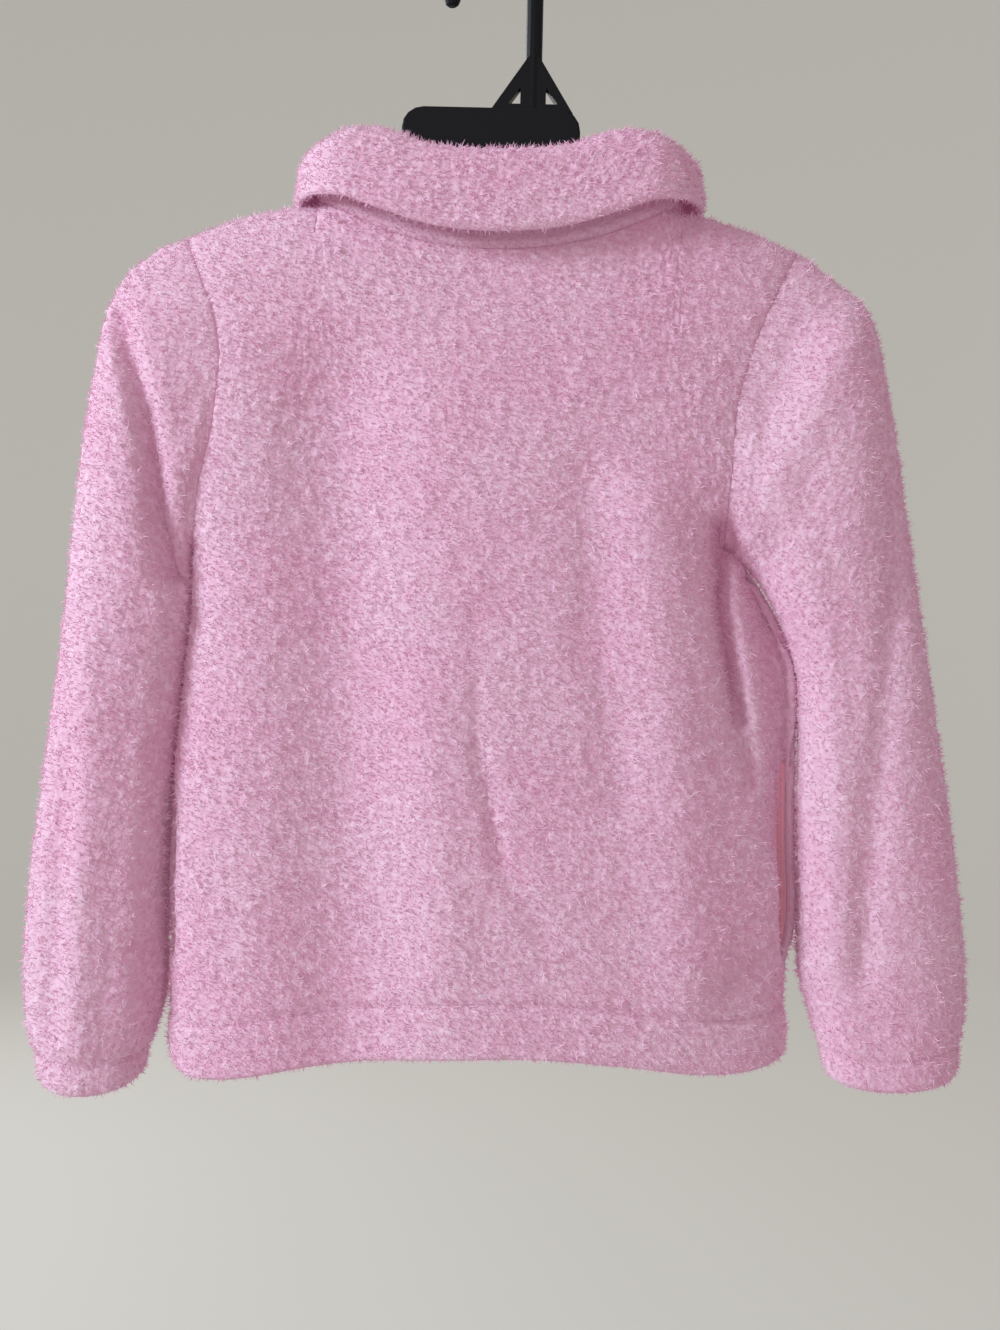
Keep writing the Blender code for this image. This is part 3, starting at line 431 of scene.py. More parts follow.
# ------------------------------------------------------------------ body
# The back and two fronts hang from the hanger's shoulders as a soft tube. They are cut from the fleece, sewn
# at the shoulders and sides, and turned up inside at the hem.
SEAM_GAP = 0.08  # between two pieces that are sewn together
HEM_TURN = 29.0  # from the hem's edge to its stitches
ROUNDNESS = 2.4  # exponent of the body's sections: 2 is an ellipse
FRONT_HALF_GAP = 4.6  # from the zip's middle to each front's edge
SIDE_FULL = 1.9  # how much fuller the unpressed pile stands where body and sleeve lie side by side
SEAM_ROUNDING = (3.2, 0.65)  # radius, and the share of the wall's height that is left at a seam
EDGE_ROUNDING = (5, 0.25)  # the same at a folded or cut edge
SEAM_DIP = (7, 0.6)  # width and depth of the dip beside a seam
STITCH_DIP_WIDTH = 2.4
STITCH_SHADE = (1.6, 0.25)  # how wide and how far the pile's colour darkens at the stitches: painted shade in their dip
Edge = namedtuple("Edge", "height out")  # the side seams, from the hem up to the underarm
LEFT_EDGE = [Edge(*row) for row in (
    (-617, 174), (-600, 176), (-573, 175.2), (-545, 176), (-517, 177.4), (-489, 176.3), (-428, 170.8),
    (-394, 167), (-368, 164.4), (-350, 163.4), (-338, 163), (-331.5, 163.2), (-327, 164.4),
)]
RIGHT_EDGE = [Edge(*row) for row in (
    (-617, 152), (-600, 156.5), (-573, 154.8), (-560, 157), (-545, 161.5), (-489, 162.6), (-444, 163),
    (-410, 163.6), (-396, 162.6), (-383, 158.6), (-369.5, 152.6), (-358.5, 146.5), (-348, 139.5),
    (-340, 132), (-335, 126.8), (-330.5, 126),
)]
# depths of the back and front, and the widths that the depth follows
Section = namedtuple("Section", "height back front left right")
SECTIONS = [Section(*row) for row in (
    (-620, 31.2, 31, 176, 155), (-570, 30.6, 30.6, 176, 158), (-500, 29, 29.6, 176, 161),
    (-400, 27, 28, 170, 163), (-335, 25.9, 26.8, 170, 162), (-300, 25.2, 26, 175, 163),
    (-250, 24, 24.6, 182, 168), (-200, 22.2, 22.4, 190, 182), (-140, 20, 20, 200, 200),
)]
Middle = namedtuple("Middle", "height x")
MIDDLE = [Middle(-620, 9.5), Middle(-400, 5), Middle(-250, 1), Middle(-140, -2.75)]
Hem = namedtuple("Hem", "s back front")  # s runs from -1, the right side seam, to 1, the left
HEM = [Hem(*row) for row in (
    (-1, -608, -608), (-0.8, -612, -612), (-0.53, -613.5, -613), (-0.3, -607.5, -611),
    (-0.12, -603.5, -610), (0.1, -604.5, -610), (0.35, -609.5, -611.5), (0.63, -617, -614),
    (0.85, -616, -614), (1, -610, -610),
)]
Spot = namedtuple("Spot", "x height")
ARMHOLE = {place: [Spot(*row) for row in rows] for place, rows in {  # by side and face, from the underarm up
    (1, 1): (
        (164.4, -327), (163.6, -320), (162, -308), (160.5, -296), (157.6, -285.8), (154, -272.4),
        (150.3, -249), (148.3, -226), (151.5, -204.6), (158.7, -185.5), (164, -172), (168, -161.5),
    ),
    (1, -1): (
        (164.4, -327), (163.6, -320), (162, -308), (160, -295), (155, -277), (150.5, -256), (147.8, -235),
        (147.8, -214), (152.5, -193), (160.5, -175), (168, -161.5),
    ),
    (-1, 1): (
        (-126, -330.5), (-125.6, -324), (-125.4, -311), (-126.8, -296), (-128.2, -281), (-128.9, -266),
        (-130.8, -252), (-136, -234), (-143, -214.3), (-154, -191), (-166, -169.5),
    ),
    (-1, -1): (
        (-126, -330.5), (-125.6, -324), (-125.4, -311), (-127, -296), (-129.5, -281), (-133, -262),
        (-138.5, -240), (-146, -216), (-155, -192), (-166, -169.5),
    ),
}.items()}
NECK_HALF = 97.0
NECK_ROUND = 20.0  # the neck seam's bend where it passes over the shoulder
NECK_X = -2.75
NECK_COLUMN = 0.5  # the body column, in s, that ends where neck and shoulder seams meet
NECK_DROP = {1: 27.5, -1: 55.0}  # back and front
SIDE_NECK_HEIGHT = {1: -143.5, -1: -146.5}  # left and right
SHOULDER_BULGE = {1: 3.0, -1: 1.5}
SHOULDER_ROLL = 36.0  # how far down the cloth curves from the shoulder seam
UNDERARM = {1: -327.0, -1: -330.5}
ARMHOLE_TURN = 0.16  # share of the armhole over which the side seam's turn opens out
FACE_FADE = 8.0  # a fold fades out over this depth towards the side seams
Fold = namedtuple("Fold", "x height x_end height_end width depth")  # soft troughs (-) and ridges (+)
FOLDS = {place: [Fold(*row) for row in rows] for place, rows in {  # by piece and face, 1 on the back
    ("sleeve_left", 1): (
        (202, -206, 188, -256, 7, -11), (188, -256, 175, -345, 7, -13), (228, -440, 238, -590, 8, -3),
        (191, -545, 184, -585, 7, -3), (218, -380, 224, -598, 9, 1.8),
    ),
    ("sleeve_right", 1): (
        (-159, -211, -138, -270, 9, -4.5), (-186, -218, -136, -322, 13, 7),
        (-165, -409, -179, -477, 7, -2.5), (-176, -380, -186, -560, 11, 1.5),
        (-206, -220, -213, -360, 9, -2.4), (-213, -360, -196, -560, 9, -3.4),
    ),
    ("back", 1): (
        (-121.5, -322, -121, -362, 6, -15), (-121, -362, -131, -424, 6, -15),
        (-131, -424, -138, -455, 8, -5), (-144, -350, -154, -400, 12, -13),
        (-154, -400, -159, -490, 11, -12), (12, -372, 9, -434, 7, -1.2), (9, -434, -3, -500, 6, -2.6),
        (-3, -500, -24, -535, 8, -1.4), (-50, -292, -54, -385, 13, -2.4), (-54, -385, -67, -462, 12, -2.4),
        (-84, -310, -96, -445, 20, 5.5), (-96, -445, -104, -560, 22, 4.5), (86, -250, 78, -595, 36, -12),
        (36, -415, 28, -550, 17, 2.2), (-146, -552, -122, -568, 7, -1.6),
    ),
    ("sleeve_left", -1): (
        (196, -216, 176, -310, 10, -4), (214, -430, 226, -560, 9, -2.5),
    ),
    ("sleeve_right", -1): (
        (-168, -222, -146, -300, 10, -4), (-205, -440, -214, -560, 9, -2),
    ),
    ("front", -1): (
        (128, -335, 120, -420, 12, -3), (-112, -345, -118, -430, 12, -3), (60, -480, 52, -600, 14, -1.5),
        (-66, -500, -60, -600, 14, -1.5),
    ),
}.items()}


def fold_depth(piece, points):
    """How far the cloth stands out of its plain form. Where troughs meet, the deepest one counts."""
    lowest, highest = np.zeros(points.shape[:-1]), np.zeros(points.shape[:-1])
    for face in (1, -1):
        on_face = np.clip(face * points[..., 1] / FACE_FADE, 0, 1)
        for fold in FOLDS.get((piece, face), []):
            start = np.array([fold.x, fold.height])
            run = np.array([fold.x_end, fold.height_end]) - start
            along = np.clip(((points[..., [0, 2]] - start) @ run) / (run @ run), 0, 1)
            away = points[..., [0, 2]] - start - along[..., None] * run
            step = fold.depth * np.exp(-(away**2).sum(-1) / fold.width**2) * on_face
            lowest, highest = np.minimum(lowest, step), np.maximum(highest, step)
    return (lowest + highest) * np.sign(points[..., 1])


def armhole(side, face, rise):
    """x and height of an armhole's seam, rise 0 at the underarm and 1 at the shoulder's tip."""
    spots = np.array(ARMHOLE[side, face], float)
    run = np.concatenate([[0], np.cumsum(np.hypot(*np.diff(spots, axis=0).T))])
    return smooth(rise, run / run[-1], spots[:, 0]), smooth(rise, run / run[-1], spots[:, 1])


def top_edge(face, s):
    """The body's upper edge: the neck seam in the middle and a shoulder seam on each side."""
    side = np.where(s < 0, -1, 1)
    inner = np.clip(np.abs(s) / NECK_COLUMN, 0, 1)
    bend = np.clip(inner * 2 - 1, 0, 1) * pi / 2
    straight = NECK_HALF - NECK_ROUND
    across = np.minimum(inner * 2, 1) * straight + NECK_ROUND * np.sin(bend)
    x = NECK_X + side * across
    y = face * (NECK_ROUND * np.cos(bend) + 2 * (1 - np.minimum(inner * 2, 1) ** 2))
    neck_side = np.where(side > 0, SIDE_NECK_HEIGHT[1], SIDE_NECK_HEIGHT[-1])
    lowest = (SIDE_NECK_HEIGHT[1] + SIDE_NECK_HEIGHT[-1]) / 2 - NECK_DROP[face]
    z = lowest + (neck_side - lowest) * (across / NECK_HALF) ** (2.2 if face > 0 else 2.6)
    outer = np.clip((np.abs(s) - NECK_COLUMN) / (1 - NECK_COLUMN), 0, 1)
    tip_x, tip_z = (np.where(side > 0, *ends) for ends in zip(ARMHOLE[1, 1][-1], ARMHOLE[-1, 1][-1]))
    bulge = np.where(side > 0, SHOULDER_BULGE[1], SHOULDER_BULGE[-1]) * 4 * outer * (1 - outer)
    on_shoulder = np.abs(s) > NECK_COLUMN
    x = np.where(on_shoulder, mix(x, tip_x, outer), x)
    y = np.where(on_shoulder, 0, y)
    z = np.where(on_shoulder, mix(neck_side, tip_z, outer) + bulge, z)
    return x, y, z


def edge_x(side, height):
    """Where a side seam lies."""
    left, right = read(LEFT_EDGE, "height", "out", height), -read(RIGHT_EDGE, "height", "out", height)
    return np.where(side > 0, left, right)


def section_x(side, height):
    """The width that the body's depth follows, which doesn't dip in at the underarm."""
    left, right = read(SECTIONS, "height", "left", height), -read(SECTIONS, "height", "right", height)
    return np.where(side > 0, left, right)


def torso(face, s, rise):
    """The body's middle surface.

    face is 1 on the back and -1 on the front; s is -1 at the right side and 1 at the left; rise is 0 at the
    hem, 1 at the underarm and 2 at the top edge.
    """
    s, rise = np.broadcast_arrays(np.asarray(s, float), np.asarray(rise, float))
    side = np.where(s < 0, -1, 1)
    low, high = np.clip(rise, 0, 1), np.clip(rise - 1, 0, 1)
    wide = np.sin(np.abs(s) * pi / 2)
    under_z = mix(UNDERARM[-1], UNDERARM[1], (s + 1) / 2)
    z_low = mix(read(HEM, "s", "back" if face > 0 else "front", s), under_z, low)
    middle = read(MIDDLE, "height", "x", z_low)
    plain = section_x(side, z_low)
    x_low = mix(middle, plain, wide) + (edge_x(side, z_low) - plain) * wide**4
    x_top, y_top, z_top = top_edge(face, s)
    x_high, z_high = mix(x_low, x_top, high), mix(z_low, z_top, high)
    for one in (-1, 1):
        arm_x, arm_z = armhole(one, face, high)
        hole = ARMHOLE[one, face]
        near = np.where(side == one, np.abs(s) ** 3, 0) * (rise > 1)
        x_high = x_high + (arm_x - mix(hole[0].x, hole[-1].x, high)) * near
        z_high = z_high + (arm_z - mix(hole[0].height, hole[-1].height, high)) * near
    x, z = np.where(rise > 1, x_high, x_low), np.where(rise > 1, z_high, z_low)
    middle = read(MIDDLE, "height", "x", z)
    reach = np.clip(np.abs((x - middle) / (section_x(side, z) - middle)), 0, 1)
    lift = np.clip(high / ARMHOLE_TURN, 0, 1)
    reach = mix(wide, reach, np.sqrt(lift * (2 - lift)))
    deep = read(SECTIONS, "height", "back" if face > 0 else "front", z)
    full = face * deep * np.maximum(1 - reach**ROUNDNESS, 0) ** (1 / ROUNDNESS)
    fallen = np.clip((z_top - z) / SHOULDER_ROLL, 0, 1)
    y = np.where(rise > 1, mix(y_top, full, np.sqrt(fallen * (2 - fallen))), full)
    if face < 0:
        x = x + side * FRONT_HALF_GAP * (1 - np.minimum(np.abs(s) / NECK_COLUMN, 1)) ** 2
    points = np.stack([x, y, z], -1)
    points[..., 1] += fold_depth("back" if face > 0 else "front", points)
    return points


POCKET_MOUTH_TOP, POCKET_MOUTH_BOTTOM = -460.0, -554.0
POCKET_GAPE = {1: 0.13, -1: 0.22}  # how far the back's edge, in s, is drawn off the front's along the mouth


def pocket_mouth(rows, side):
    """1 along the pocket's mouth, fading to 0 at its ends, for rows below the underarm."""
    height = mix(read(HEM, "s", "back", side * 1.0), UNDERARM[side], np.clip(rows, 0, 1))
    middle = (POCKET_MOUTH_TOP + POCKET_MOUTH_BOTTOM) / 2
    half = (POCKET_MOUTH_TOP - POCKET_MOUTH_BOTTOM) / 2
    return np.clip(1 - ((height - middle) / (half + 8)) ** 4, 0, 1) * (rows <= 1)


def steps(curve, stops, counts):
    """Values that step evenly along a curve between each pair of stops, counted to suit the inner skin."""
    parts = [even(curve, a, b, n + 1)[1:] for a, b, n in zip(stops, stops[1:], counts)]
    return np.concatenate([[stops[0]], *parts])


def trimmed(grid, closed=False):
    """Draws each edge back by half a seam's gap along the cloth."""
    moved = grid.copy()
    edges = [((0, slice(None)), (1, slice(None))), ((-1, slice(None)), (-2, slice(None)))]
    if not closed:
        edges += [((slice(None), 0), (slice(None), 1)), ((slice(None), -1), (slice(None), -2))]
    for edge, inner in edges:
        way = grid[inner] - grid[edge]
        moved[edge] += way / np.linalg.norm(way, axis=-1, keepdims=True) * SEAM_GAP / 2
    return moved


def line_mesh(name, points, closed=False):
    """A run of points in millimetres as edges alone, for a group to work along."""
    count = len(points)
    edges = [(i, (i + 1) % count) for i in range(count if closed else count - 1)]
    mesh = bpy.data.meshes.new(name)
    mesh.from_pydata(np.asarray(points) * MM, edges, [])
    return place_object(name, mesh)


def spaced_line(group, given):
    """Points along the line that a group is given, one pitch apart."""
    line = add_node(group, "GeometryNodeMeshToCurve", {"Mesh": given["Geometry"]}).outputs[0]
    return add_node(group, "GeometryNodeResampleCurve", {"Curve": line, "Length": given["Pitch"]},
                    mode="LENGTH").outputs[0]


def stitch_group():
    """Short straight stitches along a line."""
    group, start, finish = node_group("stitches", [
        ("Pitch", "Float", 0.0034), ("Length", "Float", 0.0025), ("Radius", "Float", 0.00032),
        ("Material", "Material", None)])
    given = start.outputs
    spaced = spaced_line(group, given)
    way = add_node(group, "GeometryNodeInputTangent").outputs[0]
    turn = add_node(group, "FunctionNodeAlignRotationToVector", {"Vector": way}, axis="Z").outputs[0]
    thread = add_node(group, "GeometryNodeMeshCylinder", {"Vertices": 6, "Radius": given["Radius"],
                                                          "Depth": given["Length"]}).outputs[0]
    placed = add_node(group, "GeometryNodeInstanceOnPoints",
                      {"Points": spaced, "Instance": thread, "Rotation": turn})
    return end_group(group, finish, placed.outputs[0], given["Material"])


def make_plain(name, colour, roughness):
    material, _, shader = new_material(name)
    set_shader(shader, {"Base Color": colour, "Roughness": roughness})
    return material


stitches = stitch_group()
thread = make_plain("pink_thread", (0.70, 0.42, 0.56, 1), 0.7)


def sew(name, points, closed=False):
    """Stitches along a run of points."""
    line = line_mesh(name + "_line", points, closed)
    sewn = grow(name, line, stitches, {"Material": thread})
    bpy.data.objects.remove(line)
    return sewn


def row_at(grid, outside, flip, away, distance, closed=False):
    """The outer skin's points, column by column, at a distance from an edge."""
    normal = grid_normals(grid, closed, flip)
    skin = grid + normal * (outside[..., None] + 0.1)
    return skin[np.abs(away - distance).argmin(0), np.arange(grid.shape[1])]


def fleece_piece(name, grid, sewn, turned, turn, fuller, amount, seed, pressed, part, closed, flip):
    """A wall of fleece and the stitches of its turned-up edge, called part.

    sewn and turned are each point's distances from the seams and from the turned edge, turn is the turn's
    width. fuller is 1 where the pile stands fuller, amount and seed set its lumps, and pressed is the depth
    at the stitches.
    """
    height, pile = pile_on(grid, amount, seed)
    full = FLEECE / 2 + height + SIDE_FULL * fuller
    outside = full * rounded(sewn, *SEAM_ROUNDING) * rounded(turned, *EDGE_ROUNDING)
    outside += trough(turned - turn, STITCH_DIP_WIDTH, pressed) + trough(sewn, *SEAM_DIP)
    inside = FLEECE / 2 + FLEECE * ease((turn + 1 - turned) / 2)
    # painted shade: the pile's colour is darkened in the stitches' dip
    pile = pile * (1 + trough(turned - turn, *STITCH_SHADE))
    wall = make_wall(name, grid, outside, inside, sherpa, closed=closed, flip=flip, pile=pile)
    line = row_at(grid, outside, flip, turned, turn, closed)
    return wall, grid, sew(f"{name}_{part}_stitches", line if closed else line[2:-2], closed)


def body_piece(name, face, s, rise, flip):
    """A body piece from its columns s and its rows."""
    grid = trimmed(torso(face, s, rise[:, None]))
    start, end, left, right = runs(grid, False)
    fuller = ease((np.abs(s) - 0.85) / 0.1) * ease((1.05 - rise[:, None]) / 0.1)
    edge = np.minimum(np.minimum(end, left), right)
    return fleece_piece(name, grid, edge, start, HEM_TURN, fuller, 1.0, 3, 1.3, "hem", False, flip)


def across(s):
    return torso(1, s, 0.6)


def upward(rise):
    return torso(1, 0.75, rise)


half = steps(across, (0, NECK_COLUMN, 1), (64, 32))
rise_steps = steps(upward, (0, 1, 2), (148, 88))
s_back = np.concatenate([-half[::-1], half[1:]])[None, :]
gape = np.where(s_back > 0, POCKET_GAPE[1] * pocket_mouth(rise_steps, 1)[:, None],
                POCKET_GAPE[-1] * pocket_mouth(rise_steps, -1)[:, None])
s_back = s_back * (1 - gape * np.clip((np.abs(s_back) - 0.4) / 0.6, 0, 1) ** 2)
back = body_piece("jacket_back", 1, s_back, rise_steps, True)
half_front = steps(across, (0, NECK_COLUMN, 1), (52, 28))
rise_front = steps(upward, (0, 1, 2), (124, 76))
fronts = {}
for side, word in SIDES:
    s_front = side * np.maximum(half_front, 1e-6)[None, :]
    fronts[side] = body_piece(f"jacket_front_{word}", -1, s_front, rise_front, side < 0)


# ------------------------------------------------------------------ sleeves
# Each sleeve is a one-piece tube of the same fleece, set into the armhole. It hangs straight down and ends in
# a cuff turned up inside. The folds where the arm would lift are placed one by one.
CUFF_TURN = 17.0
SLEEVE_COLUMNS, SLEEVE_ROWS = 152, 216
Ring = namedtuple("Ring", "out_x out_height in_x in_height half_depth y")
SLEEVE = {side: [Ring(*row) for row in rows] for side, rows in {
    1: (
        (168, -161.5, 164.4, -327, 20, 0), (183, -168, 168.6, -331, 22, 0),
        (197, -178.5, 169.8, -338, 23, 0), (206.5, -191, 169.8, -345, 24, -1),
        (212.7, -207, 169.8, -353, 25, -1), (217.6, -233, 170.2, -362, 25, -2),
        (222.5, -260, 171.2, -374, 25, -2), (228, -300, 173, -392, 25, -3), (233, -350, 176, -418, 25, -3),
        (239.8, -405, 180, -452, 25, -3), (247.5, -462, 183.4, -497, 25.5, -3),
        (254.5, -518, 184, -540, 25.5, -3), (257.2, -560, 184.5, -572, 25, -3),
        (255.8, -592, 189.5, -590, 24, -3), (251.8, -604.5, 194, -603.5, 22.4, -3),
        (248.5, -620.5, 198.5, -620.5, 22, -3),
    ),
    -1: (
        (-166, -169.5, -126, -330.5, 20, 0), (-176.5, -178, -131.4, -331.9, 21, 1),
        (-188, -187.3, -136.5, -336, 22, 2), (-199.5, -197.5, -142.5, -341.5, 22, 3),
        (-207, -214, -148.5, -349.5, 22, 4), (-212, -238.6, -154.5, -360, 21.5, 5),
        (-217, -271, -160, -373, 21, 5), (-222.5, -310, -165.5, -389, 20, 4),
        (-228.5, -352, -169, -406, 19, 3), (-236, -402, -169.6, -444, 19, 3),
        (-243, -448, -168.8, -485, 19, 2), (-250, -502, -168.8, -530, 19.5, 2),
        (-255, -550, -170, -562, 20, 1), (-255.4, -583, -175.5, -583, 20, 1),
        (-253.4, -601, -181, -603.5, 18.8, 1), (-251.5, -617, -185.5, -619.5, 18.5, 1),
    ),
}.items()}
SLEEVE_HEAD_RINGS = 5  # rings over which the armhole's own curve fades out
CUFF_SAG = 6.0


def arm_steps(rise):
    """The armhole's rows crowd towards the shoulder's tip, where the cloth bends over the hanger's arm."""
    return 1 - (1 - rise) ** 1.5


def sleeve(side, angle, along):
    """A sleeve's middle surface. angle is 0 at the underarm, pi at the shoulder line and goes on round the
    front; along is 0 at the armhole and counts the rings of its table down to the cuff."""
    angle, along = np.broadcast_arrays(np.asarray(angle, float), np.asarray(along, float))
    rings = SLEEVE[side]
    steps = np.arange(len(rings))
    get = {name: smooth(along, steps, column(rings, name)) for name in Ring._fields}
    rise = 1 - np.abs(angle / pi - 1)
    back = torso(1, side * 1.0, 1 + arm_steps(rise))
    front = torso(-1, side * 1.0, 1 + arm_steps(rise))
    hole = np.where((angle <= pi)[..., None], back, front)
    first, last = ARMHOLE[side, 1][0], ARMHOLE[side, 1][-1]
    hole_mid = np.array([(first.x + last.x) / 2, (first.height + last.height) / 2])
    hole_run = np.array([last.x - first.x, last.height - first.height]) / 2
    length = np.hypot(*hole_run)
    chord = hole_run / length
    bow = np.array([-chord[1], chord[0]])
    flat = hole[..., [0, 2]] - hole_mid
    hole_c, hole_e = (flat @ chord) / length, flat @ bow
    run_x, run_z = (get["out_x"] - get["in_x"]) / 2, (get["out_height"] - get["in_height"]) / 2
    half = np.hypot(run_x, run_z)
    fade = ease(along / SLEEVE_HEAD_RINGS)
    c = mix(hole_c, -np.cos(angle), fade)
    e = hole_e * (1 - fade)
    y = mix(hole[..., 1], get["y"] + get["half_depth"] * np.sin(angle), fade)
    sag = CUFF_SAG * np.clip((along - 11) / 4, 0, 1) * np.clip(np.sin(angle), 0, 1)
    x = (get["out_x"] + get["in_x"]) / 2 + c * run_x - e * run_z / half
    z = (get["out_height"] + get["in_height"]) / 2 + c * run_z + e * run_x / half - sag
    points = np.stack([x, y, z], -1)
    points[..., 1] += fold_depth("sleeve_left" if side > 0 else "sleeve_right", points) * fade
    return points


def sleeve_piece(side, name):
    angle = 2 * pi * np.arange(SLEEVE_COLUMNS) / SLEEVE_COLUMNS
    rise = 1 - np.abs(angle / pi - 1)
    angle = np.where(angle <= pi, rise * pi, 2 * pi - rise * pi)[None, :]
    along = steps(lambda a: sleeve(side, pi * 0.75, a), (0, 15), (SLEEVE_ROWS,))[:, None]
    grid = trimmed(sleeve(side, angle, along), True)
    start, end, _, _ = runs(grid, True)
    fuller = ease((np.cos(angle) - 0.3) / 0.4) * ease(start / 12)
    return fleece_piece(name, grid, start, end, CUFF_TURN, fuller, 0.85, 5, 1.2, "cuff", True, side < 0)


sleeves = {side: sleeve_piece(side, f"jacket_sleeve_{word}") for side, word in SIDES}


# ------------------------------------------------------------------ collar
# A folded collar of two layers of the fleece: a stand sewn to the neck, a soft roll, and a fall that lies
# over it. Its cut edges are sewn together and rounded.
COLLAR_CLOTH = 5.0
Cross = namedtuple("Cross", "place stand roll fall lean")
COLLAR = [Cross(*row) for row in (
    (0, 41, 7, 37, 3), (0.12, 40.5, 7, 36, 3), (0.2, 41.5, 7, 36, 3), (0.24, 37, 6.9, 32, 2.8),
    (0.28, 32.5, 6.8, 28, 2.6), (0.36, 23, 6.4, 20.5, 2.2), (0.44, 15, 6, 15, 1.6),
    (0.5, 11, 5.6, 10.8, 1.4), (0.56, 11.5, 5.8, 11.5, 3.2), (0.66, 17, 6, 28, 4), (1, 22, 6, 42, 5),
)]
COLLAR_POINT = 14.0  # how far each collar point is drawn away from the zip


def collar(place, run):
    """The collar's middle surface. place is -1 at the right front, 0 at the back's middle and 1 at the left
    front; run is 0 at the neck seam, 1 at the stand's top, 2 after the roll and 3 at the fall's edge."""
    place, run = np.broadcast_arrays(np.asarray(place, float), np.asarray(run, float))

    def seam(p):
        at_back = torso(1, np.clip(p, -0.5, 0.5), 2.0)
        past = np.sign(p) * np.clip(1 - np.abs(p), 0, NECK_COLUMN)
        past = np.where(np.abs(past) < 1e-6, np.sign(p) * 1e-6, past)
        at_front = torso(-1, past, 2.0)
        return np.where((np.abs(p) <= NECK_COLUMN)[..., None], at_back, at_front)

    base = seam(place)
    step = 0.03
    ahead, behind = seam(np.clip(place + step, -1, 1)), seam(np.clip(place - step, -1, 1))
    tangent = (ahead - behind)[..., :2]
    tangent /= np.linalg.norm(tangent, axis=-1, keepdims=True)
    out = np.stack([-tangent[..., 1], tangent[..., 0]], -1)
    far = np.abs(place)
    get = {name: read(COLLAR, "place", name, far) for name in Cross._fields}
    turn = np.clip(run - 1, 0, 1) * pi
    fall = np.clip(run - 2, 0, 1)
    up = np.clip(run, 0, 1) * get["stand"] + get["roll"] * np.sin(turn) - fall * get["fall"]
    off = get["roll"] * (1 - np.cos(turn)) + fall * get["lean"]
    drawn = COLLAR_POINT * fall * np.clip((far - 0.6) / 0.4, 0, 1) ** 2 * np.sign(place)
    flat = base[..., :2] + out * off[..., None]
    return np.stack([flat[..., 0] + drawn, flat[..., 1], base[..., 2] + up], -1)


half = steps(lambda p: collar(p, 0.5), (0, 0.5, 1), (80, 72))
place = np.concatenate([-half[::-1], half[1:]])[None, :]
place = np.where(np.abs(place) < 1e-6, 1e-6, place)
run_steps = steps(lambda r: collar(1e-6, r), (0, 1, 2, 3), (24, 16, 24))[:, None]
collar_grid = trimmed(collar(place, run_steps))
start, end, left, right = runs(collar_grid, False)
height, pile = pile_on(collar_grid, 1.0, 7)
edge = rounded(np.minimum(left, right), *EDGE_ROUNDING) * rounded(end, *EDGE_ROUNDING)
edge *= rounded(start, 4, 0.4)
collar_piece = make_wall("jacket_collar", collar_grid, (COLLAR_CLOTH / 2 + height) * edge,
                         COLLAR_CLOTH / 2 * edge, sherpa, keep=2, pile=pile, ground=0.3, lining=1.0)


# ------------------------------------------------------------------ pockets
# Pocket bags of coral knit hang inside the side seams. Both layers start at the seam, which gapes a little on
# the right and shows the knit.
POCKET_TOP, POCKET_BOTTOM = -448.0, -576.0
POCKET_CLOTH = 1.2
# inward: how far in from the side seam; y: where the mouth is open; shut: y where the seam is sewn
BagStep = namedtuple("BagStep", "inward y shut")
BAG = [BagStep(*row) for row in (
    (3.3, -0.4, -0.8), (12, -1.2, -0.8), (34, -1.6, -0.9), (58, -1.6, -0.9), (66, 2.4, 0), (58, 6.4, 0.9),
    (34, 6.4, 0.9), (18, 6.6, 0.8), (9, 6.8, 0.8),
)]


def make_coral():
    """A fine warp knit: rows of small loops, slightly glossy."""
    material, tree, shader = new_material("coral_knit")
    place = own_place(tree)
    ribs = add_node(tree, "ShaderNodeTexWave",
                    {"Vector": place, "Scale": 190, "Distortion": 0.6, "Detail": 1}, bands_direction="X")
    loops = add_node(tree, "ShaderNodeTexWave", {"Vector": place, "Scale": 260, "Distortion": 0.4},
                     bands_direction="Z")
    knit = maths(tree, "MULTIPLY", ribs.outputs["Fac"], loops.outputs["Fac"])
    ramp = add_node(tree, "ShaderNodeValToRGB", {"Fac": knit})
    ramp.color_ramp.elements[0].color = (0.78, 0.30, 0.42, 1)
    ramp.color_ramp.elements[1].color = (0.92, 0.45, 0.58, 1)
    tree.links.new(ramp.outputs["Color"], shader.inputs["Base Color"])
    emboss(tree, shader, knit, 0.5, 0.0003)
    set_shader(shader, {"Roughness": 0.7, "Sheen Weight": 0.2})
    return material


coral = make_coral()


def pocket_piece(side, name):
    """A bag folded from one piece: both layers start at the side seam and meet in a fold inside the body."""
    heights = np.linspace(POCKET_TOP, POCKET_BOTTOM, 49)
    full = np.sin((POCKET_TOP - heights) / (POCKET_TOP - POCKET_BOTTOM) * pi) ** 0.5
    turn = np.linspace(0, len(BAG) - 1, 65)
    way = {key: smooth(turn, np.arange(len(BAG)), column(BAG, key)) for key in BagStep._fields}
    x = edge_x(np.array(side), heights)[:, None] - side * way["inward"][None, :]
    y = mix(way["shut"][None, :], way["y"][None, :], full[:, None])
    grid = np.stack([x, y, np.broadcast_to(heights[:, None], x.shape)], -1)
    half = np.full(x.shape, POCKET_CLOTH / 2)
    return make_wall(name, grid, half, half, coral, flip=side > 0), grid


pockets = {side: pocket_piece(side, f"pocket_bag_{word}") for side, word in SIDES}


